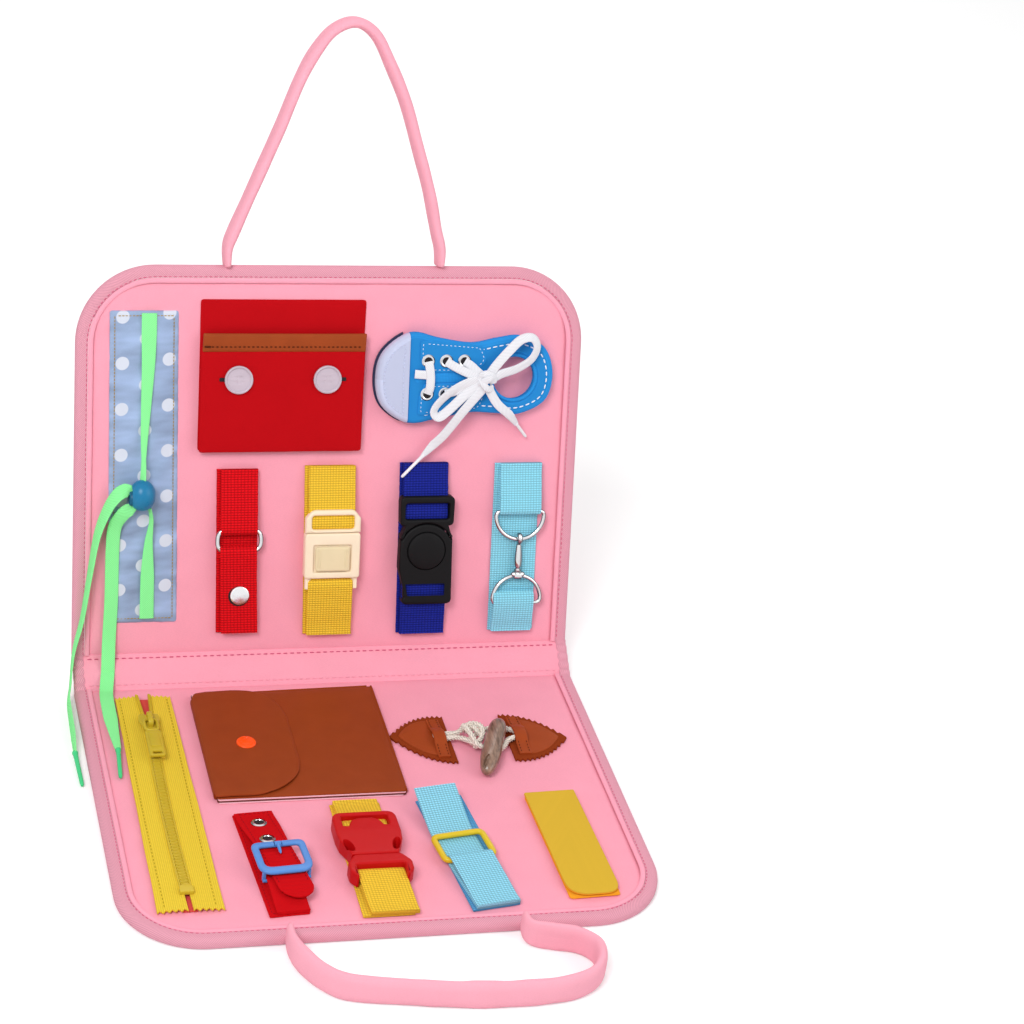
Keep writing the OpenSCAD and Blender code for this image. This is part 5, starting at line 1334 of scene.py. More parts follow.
def tie_shoe():
    """The shoe lace through its eyelets, its bow and its knot."""
    first = [(54.2, 175.6, 8.9), (54.9, 172, 9.9), (55.6, 166, 10.1), (55.4, 160, 9.9),
             (54.4, 156.4, 8.9)]
    crossings = [first, [(65.1, 175.6, 8.9), (71, 172.2, 10.3), (79.5, 168.3, 11.4),
                         (87, 165.5, 12.4)], [(65.1, 156.4, 8.9), (71.5, 158.4, 10.3),
                                              (79.5, 161.4, 11.3), (87, 163.5, 12.2)],
                 [(76, 175.6, 8.9), (79.6, 173.4, 10.4), (83.6, 169.8, 11.6), (88, 166.5, 12.4)],
                 [(76, 156.4, 8.9), (80, 157.6, 10.4), (84, 160, 11.6), (88, 163, 12.4)],
                 [(46.4, 168.2, 8.6), (49.6, 168, 9.3), (53.4, 167.8, 9.6)]]
    bows = [[(89, 166, 12.4), (94, 173.6, 12.8), (101, 182, 13.2), (108.6, 189.4, 13.4),
             (115.4, 190.4, 13.4), (118.6, 184.8, 13), (115.4, 177.4, 12.6), (107, 171.8, 12.2),
             (97, 168.4, 12), (90, 164.4, 12.2)], [(87, 165.4, 12.4), (78, 163.6, 11.9),
                                                   (69, 158.8, 11.3), (61.6, 152, 10.7),
                                                   (58.2, 146, 10.2), (61.4, 142.6, 10.1),
                                                   (67.6, 147.4, 10.8), (76, 155.6, 11.7),
                                                   (86, 162.6, 12.4)]]
    parts = []
    for k, line in enumerate(crossings):
        path = smooth(line, 8)
        parts.append(sweep("lace_part_%d" % k, path, oval(5.2, 1.4, 14, 2.6)))
    for k, line in enumerate(bows):
        path = smooth(line, 8)
        roll = [0.5 * math.sin(math.pi * i / (len(path) - 1)) for i in range(len(path))]
        parts.append(sweep("bow_part_%d" % k, path, oval(5.6, 1.5, 14, 2.6), twist=roll))
    wraps = [([(84.4, 165.2, 12), (86, 168.4, 13.8), (89.4, 169.2, 14.2), (92.4, 167, 13.6),
               (93, 163.4, 12)], 4.2), ([(84.8, 161.4, 12), (87.2, 164.8, 14.6), (90.4, 166.4, 15),
                                         (93.2, 164.6, 12.4)], 4.6),
             ([(85.2, 168.2, 11.6), (86.2, 163.6, 14.4), (89.4, 160.2, 14.6), (92.8, 160.4, 12.2)],
              4.0)]
    for k, (line, wide) in enumerate(wraps):
        parts.append(sweep("knot_part_%d" % k, smooth(line, 8), oval(wide, 1.8, 14, 2.4)))
    bow = join(parts, "shoe_bow")
    put(bow, ON_UPPER, "white_lace", "shoe_lace", angle=60)


tie_shoe()


# ---- snap strap ----

def dress_snap_strap():
    """The red strap, its ring and its tail with a press stud."""
    strap("snap_base", -54.0, 24.2, sewn(12.4, 60, 111), ON_UPPER, "red_web",
          "snap_strap", slant=-0.017)
    strap("snap_upper", -54.5, 21.6, bar_loop(75, 111.3), ON_UPPER, "red_web")
    tail = [(58, 2.6), (62, 2.5), (64.6, 3.1), (65.2, 4.5), (64.6, 6.1), (62.6, 6.75), (58, 6.5),
            (48, 5.6), (34, 4.6), (22, 4.3), (12.6, 4.4)]
    strap("snap_tail_web", -54.5, 21.6, tail, ON_UPPER, "red_web", "snap_tail", slant=-0.04,
          body="snap_tail")
    wire = 2.7
    ring = sweep("snap_ring", frame_path(-54.0, 68.8, 28.4 - wire, 15.4 - wire, 5.6, BAR_H),
                 oval(wire, wire, 14), closed=True)
    put(ring, ON_UPPER, "steel", "strap_ring", body="strap_ring", angle=60)
    stud = turned("snap_stud", -55.0, 34.6, [(4.0, 1.3), (4.0, 2.6), (3.2, 3.2), (0.4, 3.3)], 28)
    put(stud, ON_UPPER, "steel")
    # a dark ring at the foot of the cap: painted shade under its edge
    rim = turned("snap_rim", -53.7, 35.6, [(6.2, 5.2), (6.3, 5.5), (5.9, 5.75), (5.3, 5.6)], 36)
    put(rim, ON_UPPER, "dark_hole", body="snap_tail")
    cap = turned("snap_cap", -53.3, 35.8, [(5.6, 5.25), (5.75, 5.8), (5.5, 6.3), (5.0, 6.5),
                                           (4.1, 6.6), (2.6, 6.85), (0.3, 7.0)], 48)
    put(cap, ON_UPPER, "cap_metal", body="snap_tail")


dress_snap_strap()


# ---- catch buckle ----

CATCH_U, BUTTON_V = 1, 57.5


def dress_catch():
    """The yellow strap and its cream buckle with a square button."""
    strap("catch_base", 0.5, 29.2, sewn(10, 60, 112.5), ON_UPPER, "yellow_web",
          "catch_straps", slant=-0.016)
    strap("catch_upper", 0.4, 27.8, bar_loop(77.2, 112.6), ON_UPPER, "yellow_web")
    strap("catch_lower", 1.2, 27.0, bar_loop(42.3, 9.8), ON_UPPER, "yellow_web", slant=-0.02)
    body = slab("catch_case", [box_outline(CATCH_U, 59.25, 33.2, 27.5, 2.2),
                               box_outline(CATCH_U, BUTTON_V, 22.4, 16.4, 1.2)], 1.7, 8.7, 1.1, 4)
    floor = slab("catch_floor", [box_outline(CATCH_U, BUTTON_V, 24, 18, 0.5)], 1.9, 7.2, 0.2)
    bar = cross_bar("catch_bar", 42.3, (-12.6, 0, 14.6))
    lugs = [slab("lug", [box_outline(CATCH_U + x * 12.9, 43.9, 1.3, 6, 0.3)], 3.3, 6.3, 0.3)
            for x in (-1, 1)]
    put(join([body, floor, bar] + lugs, "catch_case"), ON_UPPER, "cream_plastic", "catch_body")
    ribs = [slab("rib", [box_outline(CATCH_U + x, BUTTON_V, 0.7, 11, 0.3)], 9.0, 9.75, 0.3)
            for x in (-8.9, -7.6, 7.6, 8.9)]
    push = slab("catch_push", [box_outline(CATCH_U, BUTTON_V, 20.6, 14.6, 1.6)], 7.7, 9.5, 0.7, 3)
    put(join([push] + ribs, "catch_push"), ON_UPPER, "cream_button", "catch_button",
        body="catch_button")
    frame_line = corners([(-15.5, 73.3, 0), (17.5, 73.3, 0), (17.5, 82, 2), (13.6, 87, 5),
                          (-11.6, 87, 5), (-15.5, 82, 2)], 6)
    window = box_outline(CATCH_U, 79.4, 25.6, 8.6, 2.2)
    bow = slab("catch_bow", [frame_line, window], 3.7, 8.9, 1.3, 4)
    prongs = [slab("prong", [corners([(CATCH_U + x * 14.4 - 1.2, 38.6, 1),
                                      (CATCH_U + x * 14.4 + 1.2, 38.6, 1),
                                      (CATCH_U + x * 14.4 + 1.2, 75, 0),
                                      (CATCH_U + x * 14.4 - 1.2, 75, 0)])], 3.7, 6.7, 0.4)
              for x in (-1, 1)]
    bar = cross_bar("catch_top_bar", 77.2, (-13, 0, 15))
    put(join([bow, bar] + prongs, "catch_bow"), ON_UPPER, "cream_plastic", "catch_tongue",
        body="catch_tongue")


dress_catch()


# ---- round button buckle ----

ON_CLICK = (UPPER @ Matrix.Translation((-1.5, 0.4, 0)), "upper_panel")


CLICK_U, CLICK_V = 59, 61


def dress_click():
    """The navy strap and its black buckle with a round button."""
    strap("click_base", 57.0, 28.6, sewn(9, 60, 113.5), ON_UPPER, "navy_web",
          "click_straps", slant=-0.012)
    strap("click_upper", 56.8, 27.2, bar_loop(81.6, 113.6), ON_UPPER, "navy_web",
          body=("click_tongue", "upper_panel", (56.8, 84, 4), (56.8, 111, 4)))
    strap("click_lower", 58.0, 27.2, bar_loop(40.4, 8.8), ON_UPPER, "navy_web", slant=-0.02)
    arch = [(CLICK_U + 16.2 * math.sin(a), CLICK_V + 16.2 * math.cos(a))
            for a in (math.radians(66 - 132 * k / 30) for k in range(31))]
    low = corners([(42.4, 28, 3.5), (75.6, 28, 3.5), (75.2, 50, 4), (74.8, 67.8, 0)], 6)
    low = low[:-1] + [(74.9, 67.8)] + arch + [(43.1, 67.8), (42.8, 50)]
    body = slab("click_case", [low, box_outline(CLICK_U, 37.1, 26.5, 9.8, 1.6)], 1.7, 9.6, 1.3, 4)
    dish = turned("dish", CLICK_U, CLICK_V, [(11.85, 8.0), (11.85, 12)], 48)
    cut(body, dish)
    bar = cross_bar("click_bar", 40.4, (45, CLICK_U, 73))
    put(join([body, bar], "click_case"), ON_CLICK, "black_plastic", "click_body")
    gap = [(CLICK_U + 16.6 * math.sin(a), CLICK_V + 16.6 * math.cos(a))
           for a in (math.radians(64 - 128 * k / 30) for k in range(31))]
    high = [(43.2, 68.3)] + gap[::-1] + [(74.8, 68.3)] + corners(
        [(75.2, 76, 3), (75.6, 94, 3.5), (42.4, 94, 3.5), (42.8, 76, 3)], 6)
    tongue = slab("click_head", [high, box_outline(CLICK_U, 84.9, 26.5, 9.8, 1.6)], 1.7, 9.6, 1.3,
                  4)
    bar = cross_bar("click_high_bar", 81.6, (45, CLICK_U, 73))
    put(join([tongue, bar], "click_head"), ON_CLICK, "black_plastic", "click_tongue",
        body="click_tongue")
    push = turned("click_push", CLICK_U, CLICK_V, [(11.4, 8.1), (11.5, 9.3), (11.0, 10.1),
                                                   (9.6, 10.5), (7, 10.8), (4, 10.95),
                                                   (0.4, 11.0)], 48)
    put(push, ON_CLICK, "black_plastic", "click_button", body="click_button")


dress_click()


# ---- rings and swivel hook ----

HOOK_U = 115.8


def d_path(v, way, half=14.8, corner=2.4):
    """The line of a D-ring whose straight bar lies at v and whose bow reaches towards way."""
    line = [(half - corner, 0), (half - 0.7, -0.7), (half, -corner)]
    line += [(half * math.cos(a), -corner - half * math.sin(a))
             for a in (math.pi * k / 24 for k in range(1, 24))]
    line += [(-half, -corner), (0.7 - half, -0.7), (corner - half, 0)]
    line += [((corner - half) * (1 - k / 5), 0) for k in range(1, 10)]
    return [Vector((HOOK_U + x, v + way * y, BAR_H)) for x, y in line]


def dress_hook_strap():
    """The pale strap, its two D rings and the swivel hook between them."""
    strap("hook_base", 113.6, 28, sewn(9, 60, 112.5), ON_UPPER, "pale_web", "hook_straps")
    strap("hook_upper", 115.4, 25.4, bar_loop(84, 112.7), ON_UPPER, "pale_web")
    fold = [(8.8, 1.97), (17, 2.0), (26, 2.1), (31.6, 2.5), (33.4, 4.5), (31.6, 6.6), (26, 6.9),
            (17, 5.2), (12.4, 3.6), (8.8, 3.3)]
    strap("hook_lower", 113.6, 25.0, fold, ON_UPPER, "pale_web")
    top = sweep("ring_top", d_path(83.4, 1), oval(2.5, 2.5, 14), closed=True)
    put(top, ON_UPPER, "steel", "d_ring_top", angle=60, body="d_ring_top")
    low = sweep("ring_low", d_path(26.5, -1), oval(2.4, 2.4, 14), closed=True)
    sleeve = turned("sleeve", 0, 0, [(1.6, -2.4), (2.5, -2.2), (2.7, 0), (2.5, 2.2), (1.6, 2.4)],
                    24)
    sleeve.data.transform(Matrix.Translation((HOOK_U, 43.7, 4.5))
                          @ Matrix.Rotation(math.pi / 2, 4, "Y"))
    body = turned("hook_body", 0, 0, [(1.0, 0), (1.8, 0.6), (2.2, 1.8), (1.3, 2.8), (1.9, 3.8),
                                      (2.2, 5.6), (2.3, 8), (2.2, 11), (1.9, 14), (1.6, 16.6),
                                      (1.3, 18.4)], 24)
    body.data.transform(Matrix.Translation((HOOK_U, 45.4, 4.6))
                        @ Matrix.Rotation(-math.pi / 2, 4, "X"))
    bend = [(HOOK_U, v, h) for v, h in ((63.2, 4.8), (65, 6.6), (67, 7.5), (68.9, 6.6),
                                        (69.3, 4.8), (68.6, 3.2))]
    claw = sweep("claw", smooth(bend, 5), oval(3, 2.2, 12), flat=True)
    balls = [sphere("ball", 1.7, 20, 12, (HOOK_U + x, 44.6, 5.4)) for x in (-2.6, 0, 2.6)]
    put(join([low, sleeve, body, claw] + balls, "ring_low"), ON_UPPER, "steel", "d_ring_low",
        angle=50, body="d_ring_low")


dress_hook_strap()


# ---- zip ----

ZIP_U, SLIDER_V = -112, 41.5


def zip_mid(v):
    """The line of the teeth, which bows a little below the slider."""
    return ZIP_U - 1.5 * math.sin(math.pi * max(0.0, min(1.0, (v - 45) / 162)))


def zip_gap(v):
    """Half the gap between the tapes, open above the slider."""
    return 1.5 + 1.7 * max(0.0, min(1.0, (SLIDER_V - 2 - v) / 28))


def zip_tooth_row(rows):
    """Slanted teeth, each given by its place along, across and its width."""
    verts, faces = [], []
    for v, u, wide in rows:
        base = len(verts)
        for h, shrink in ((2.2, 1.0), (3.6, 1.0), (4.2, 0.7)):
            for x, y in ((-1, -1), (1, -1), (1, 1), (-1, 1)):
                verts.append((u + x * wide / 2 * shrink, v + (y * 0.42 + x * 0.55) * shrink, h))
        for r in (0, 4):
            for c in range(4):
                d = (c + 1) % 4
                faces.append([base + r + c, base + r + d, base + r + 4 + d, base + r + 4 + c])
        faces.append([base + c for c in (3, 2, 1, 0)])
        faces.append([base + 8 + c for c in range(4)])
    return from_faces("zip_teeth_row", verts, faces)


def dress_zip():
    """The zip: tapes, teeth, cords, stop, slider and puller."""
    under = slab("zip_gap_cloth", [box_outline(ZIP_U, 109, 8, 193, 0.5)], 0.02, 0.5, 0.1)
    put(under, ON_LOWER, "zip_gap")
    cols, rows = 20, 98
    for side, way in (("left", -1), ("right", 1)):
        verts = []
        for j in range(rows + 1):
            for i in range(cols + 1):
                t = i / cols
                pink = 2 * (1 - abs(2 * (t * 5 % 1) - 1))
                v = 11 + pink + (196 - 2 * pink) * j / rows
                h = 2.4 - 1.0 * max(0.0, (t - 0.35) / 0.65) ** 1.5
                h += 0.12 * noise.noise(Vector((t * 3, v * 0.05, way)))
                h += 0.25 * math.exp(-(t / 0.05) ** 2) + 0.3 * math.exp(-((t - 1) / 0.06) ** 2)
                wave = 0.25 * noise.noise(Vector((v * 0.03, way, 1.0)))
                edge = 15.9 + 2.0 * (v - 11) / 196 + wave
                inner = zip_gap(v)
                u = (zip_mid(v) - ZIP_U) * (1 - t) + ZIP_U + way * (inner + (edge - inner) * t)
                verts.append((u, v, h))
        faces = [face[::way] for face in grid(cols, rows)]
        tape = from_faces("zip_tape_" + side, verts, faces,
                          [[verts[k][:2] for k in face] for face in faces])
        apply(tape, "SOLIDIFY", thickness=0.8, offset=-1)
        put(tape, ON_LOWER, "zip_tape", "zipper_tapes" if way > 0 else ())
        line = [(zip_mid(v) * 0.3 + ZIP_U * 0.7 + way * 13.6, v, 1.95) for v in range(14, 206, 10)]
        stitches("zip_seam_" + side, [line], ON_LOWER, "zip_thread", 3.0, 2.0, 0.5, 0.3)
    closed = [(50 + 1.3 * k, zip_mid(50 + 1.3 * k) + (0.2 if k % 2 else -0.2), 4.6)
              for k in range(107)]
    opened = [(12.6 + 1.3 * k, ZIP_U + way * (zip_gap(12.6 + 1.3 * k) + 0.5), 1.8)
              for way in (-1, 1) for k in range(18)]
    teeth = zip_tooth_row(closed + opened)
    edges = [sweep("cord", [Vector((zip_mid(v) + x, v, 3.0)) for v in range(48, 192, 4)],
                   oval(1.1, 1.6, 8)) for x in (-2.8, 2.8)]
    u = zip_mid(190)
    stop = slab("stop", [corners([(u - 3.8, 187.4, 3.6), (u + 3.8, 187.4, 3.6),
                                  (u + 3.8, 194, 0.8), (u - 3.8, 194, 0.8)], 8)], 2.3, 4.9, 0.5)
    put(join([teeth, stop] + edges, "zip_teeth_row"), ON_LOWER, "zip_tooth", "zipper_teeth",
        angle=30)
    shape = [(u, v + SLIDER_V, r) for u, v, r in (
        (-5.6, -7.4, 1.2), (-2, -7.4, 0.8), (0, -5, 1), (2, -7.4, 0.8), (5.6, -7.4, 1.2),
        (6.1, -1.5, 2), (3.8, 7.4, 1.2), (-3.8, 7.4, 1.2), (-6.1, -1.5, 2))]
    shape = [(ZIP_U + p[0], p[1]) for p in corners(shape, 5)]
    top = slab("top", [shape], 4.65, 5.85, 0.5, 3)
    low = slab("low", [box_outline(ZIP_U, SLIDER_V, 10, 15, 2)], 0.35, 1.3, 0.3)
    post = slab("post", [box_outline(ZIP_U, SLIDER_V - 4.6, 2, 3.6, 0.6)], 0.5, 5.3, 0.3)
    bail = sweep("bail", even(smooth([Vector((ZIP_U, SLIDER_V + v, h)) for v, h in (
        (-4.8, 5.4), (-4.8, 7.8), (-3.8, 9.3), (0, 9.45), (4, 9.3), (5, 7.8), (5, 5.4))], 6), 0.8),
        oval(3, 1.3, 12, 3), flat=True)
    put(join([top, low, post, bail], "zip_slider_body"), ON_LOWER, "zip_brass", "zip_slider",
        body="zip_slider")
    ring = sweep("ring", frame_path(ZIP_U, SLIDER_V + 5.4, 7.4, 10.8, 3.4, 7.25, 0.8, 6),
                 oval(2.0, 2.0, 12), closed=True)
    tab = slab("tab", [box_outline(ZIP_U, SLIDER_V + 23.5, 9, 24, 1.6),
                       box_outline(ZIP_U, SLIDER_V + 32.4, 5.0, 2.6, 0.8)], 6.35, 8.1, 0.5, 3)
    plate = slab("plate", [box_outline(ZIP_U, SLIDER_V + 20.8, 5.8, 13, 0.8)], 7.9, 8.6, 0.3)
    put(join([ring, tab, plate], "zip_pull_tab"), ON_LOWER, "zip_brass", "zip_pull",
        body="zip_pull")


dress_zip()


# ---- wallet ----

def round_corners(spots):
    """Draws a patch's points in to rounded corners, each (u, v, radius, way out)."""
    def trim(p):
        for u, v, r, side, end in spots:
            c = Vector((u - side * r, v - end * r))
            if (p.x - c.x) * side > 0 and (p.y - c.y) * end > 0 and (p - c).length > r:
                return c + (p - c).normalized() * r
        return p
    return trim


def dress_wallet():
    """The hide wallet with its lining, rolled edges, flap and stud."""
    lining = slab("wallet_lining", [box_outline(-30.6, 62.8, 105, 103.4, 1)], 0.02, 0.7, 0.25)
    put(lining, ON_LOWER, "wallet_lining")
    back = slab("wallet_back", [box_outline(-30, 62.2, 107.6, 103.2, 1.5)], 0.3, 1.5, 0.4)
    put(back, ON_LOWER, "wallet_edge")
    middle = slab("wallet_middle", [box_outline(-30, 62.4, 107, 102.6, 1.5)], 1.5, 2.2, 0.3)
    put(middle, ON_LOWER, "wallet_lining")
    front = quilt("wallet_front", [(-84.4, 13.4), (24, 9.8), (24.2, 113.6), (-84.2, 113.2)], 2.5,
                  1.4, 3.0, 0.35, 0.3, 0.08, 41.0, round_corners([(-84.4, 13.2, 8, -1, -1)]),
                  drop=0.9)
    put(front, ON_LOWER, "wallet_hide", "wallet_pocket")
    for name, line, wide, high, mid in (
            ("wallet_fold", [(-84.2, 20), (-84.3, 60), (-84.2, 112.8)], 2.6, 4.6, 2.5),
            ("wallet_top", [(-78, 13.6), (-30, 11.8), (23.6, 10.2)], 1.6, 3.0, 1.9),
            ("wallet_side", [(23.6, 10.2), (23.8, 60), (23.6, 113.2)], 1.6, 3.0, 1.9)):
        edge = sweep(name, even([Vector((u, v, mid)) for u, v in line], 3.0),
                     oval(wide, high, 14, 2.6))
        put(edge, ON_LOWER, "wallet_hide")
    rounded = round_corners([(-85.3, 13.0, 8, -1, -1), (-32, 10.8, 33, 1, -1),
                             (-32, 113.4, 33, 1, 1)])
    flap = quilt("wallet_flap_hide", [(-85.3, 13.0), (-32, 10.8), (-32, 113.4), (-85.2, 113.4)],
                 4.3, 1.6, 2.4, 0.4, 0.3, 0.08, 43.0, rounded, drop=0.8)
    put(flap, ON_LOWER, "wallet_hide", "wallet_flap", body="wallet_flap")
    cap = turned("wallet_snap_cap", -60.5, 66.5, [
        (5.2, 5.9), (5.65, 6.3), (5.6, 6.9), (5.1, 7.4), (4.4, 7.6), (3.7, 7.45), (3.2, 7.6),
        (2, 7.8), (0.3, 7.85)])
    put(cap, ON_LOWER, "orange_plastic", "wallet_snap", body="wallet_flap")


dress_wallet()


# ---- toggle closure ----

def leaf_outline(base_u, tip_u, mid, lean, half=23.6, teeth=12, bite=2.6):
    """A leaf with a toothed rim from its straight base to its tip."""
    way = 1 if tip_u > base_u else -1
    length = abs(tip_u - base_u)
    rim = []
    for k in range(2 * teeth + 1):
        t = k / (2 * teeth)
        w = half * (1 - t ** 2.3) ** 0.94 - (bite if k % 2 else 0)
        if w > 0.3:
            rim.append((t, w))
    rim.append((1.0, 0.0))
    side = [(base_u + way * length * t, mid + lean * t + w) for t, w in rim]
    other = [(base_u + way * length * t, mid + lean * t - w) for t, w in rim[:-1]]
    return corners([(u, v, 0.5) for u, v in side + other[::-1]], 2)


def twisted(name, line):
    """A rope of three strands laid round each other."""
    d, turn, step = 3.6, 1.1, 0.8
    path = even(smooth(line, 8), step)
    section = [(d / 2 * (0.86 + 0.14 * math.cos(3 * a)) * math.cos(a),
                d / 2 * (0.86 + 0.14 * math.cos(3 * a)) * math.sin(a))
               for a in (2 * math.pi * k / 18 for k in range(18))]
    return sweep(name, path, section, twist=[turn * step * i for i in range(len(path))])


LEAF_V = 64.4


def dress_toggle():
    """Two hide leaves, the knotted rope between them and the horn toggle."""
    for side, base_u, tip_u, lean in (("left", 60, 24.8, -5.0), ("right", 94, 130, 2.6)):
        way = 1 if tip_u > base_u else -1
        leaf = slab("leaf_" + side, [leaf_outline(base_u, tip_u, LEAF_V, lean)], 0.05, 1.6, 0.35)
        put(leaf, ON_LOWER, "leaf_hide", "toggle_patches" if way > 0 else ())
        inner = leaf_outline(base_u + way * 9, tip_u - way * 7, LEAF_V + lean * 0.2, lean * 0.6,
                             14.5, 8, 0)
        line = [(p[0], p[1], 1.75) for p in inner]
        stitches("leaf_seam_" + side, [line + line[:1]], ON_LOWER, "brown_thread", 2.4, 1.7, 0.7,
                 0.3)
        inner = leaf_outline(base_u + way * 7, tip_u - way * 5, LEAF_V + lean * 0.2, lean * 0.7,
                             17, 8, 0)
        pad = slab("leaf_pad_" + side, [inner], 1.0, 2.3, 0.6, 3)
        put(pad, ON_LOWER, "tab_hide")
        # the tab that is sewn down over the cords' ends
        u = base_u + way * 7.2
        hump = [(46.4, 2.2), (52, 2.6), (57, 3.6), (60.5, 5.2), (64.5, 5.8), (68.5, 5.2),
                (72, 3.6), (77, 2.6), (82.6, 2.2)]
        tab = sweep("leaf_tab_" + side, even(smooth([(u, v, h) for v, h in hump], 5), 1.2),
                    oval(7.4, 1.4, 16, 5), up=(0, 0, 1))
        put(tab, ON_LOWER, "tab_hide")
        for shift in (-2.4, 2.4):
            line = [(u + shift, v, h + 0.75) for v, h in hump if abs(v - 64.5) > 6]
            near, far = [p for p in line if p[1] < 64], [p for p in line if p[1] > 64]
            stitches("tab_seam_%s_%d" % (side, shift > 0), [near, far], ON_LOWER, "brown_thread",
                     2.4, 1.5, 0.5, 0.3)
    ropes = [twisted("rope", line) for line in ([(50, 62.4, 3.4), (58, 62.4, 3.9), (64, 62.6, 4.4),
                                                 (68, 61, 6.4), (72, 60, 8.8), (76.4, 62.6, 9.8),
                                                 (78, 68, 9.4), (75.6, 73.4, 7.4), (71.6, 74, 4.8),
                                                 (71, 69, 4.2), (76, 64, 4.2), (84, 59, 4.0),
                                                 (91, 58.6, 4.0), (101, 62.4, 3.4)],
                                                [(50, 66.6, 3.4), (58, 66.6, 3.9), (64, 67.2, 4.4),
                                                 (69, 71.6, 5.4), (73.6, 78, 6.4), (78, 80.4, 5.6),
                                                 (84, 81, 4.2), (89, 77, 4.0), (93, 71, 4.0),
                                                 (101, 66.6, 3.4)],
                                                [(70.2, 60, 3.4), (68.2, 60.4, 7.4),
                                                 (68.4, 65.6, 10.0), (70, 71.6, 9.4),
                                                 (72.2, 76.4, 6.4), (72.6, 75, 3.2)],
                                                [(72.4, 61, 4.4), (73, 62.4, 8.6),
                                                 (75.4, 66.4, 7.6), (78, 70, 5.4)])]
    put(join(ropes, "toggle_rope"), ON_LOWER, "cotton", "toggle_cords", angle=60)
    count, half = 40, 23.2
    path, size = [], []
    for k in range(count + 1):
        t = -1 + 2 * k / count
        path.append(Vector((0, half * t, 0.5 * math.cos(t * 1.6))))
        thin = (1 - abs(t) ** 4.2) ** 0.5
        size.append((max(0.12, thin) * (1.0 + 0.05 * math.sin(5 * t)),
                     max(0.12, thin) * (0.96 + 0.1 * t)))
    horn = sweep("horn_toggle", path, oval(11.2, 10.6, 24, 2.3), size=size)
    for vert in horn.data.vertices:
        vert.co += 0.35 * noise.noise_vector(vert.co * 0.12)
    # a split worn into the lower end
    split = sphere("split", 1, 24, 16)
    split.data.transform(Matrix.Translation((-2.0, 20.5, 5.4)) @ Matrix.Rotation(0.16, 4, "Z")
                         @ Matrix.Diagonal((1.5, 8.5, 3.6, 1)))
    cut(horn, split)
    map_flat(horn)
    tilt = (LOWER @ Matrix.Translation((80.7, 82, 8)) @ Matrix.Rotation(math.radians(22), 4, "Z")
            @ Matrix.Rotation(math.radians(-9), 4, "X"))
    put(horn, (tilt, "toggle"), "horn", "toggle", angle=50)


dress_toggle()


# ---- belt ----

BELT_U, PIN_U = -63.7, -59.2
ON_BELT = turned_seat(BELT_U, 168, -4, BELT_U)


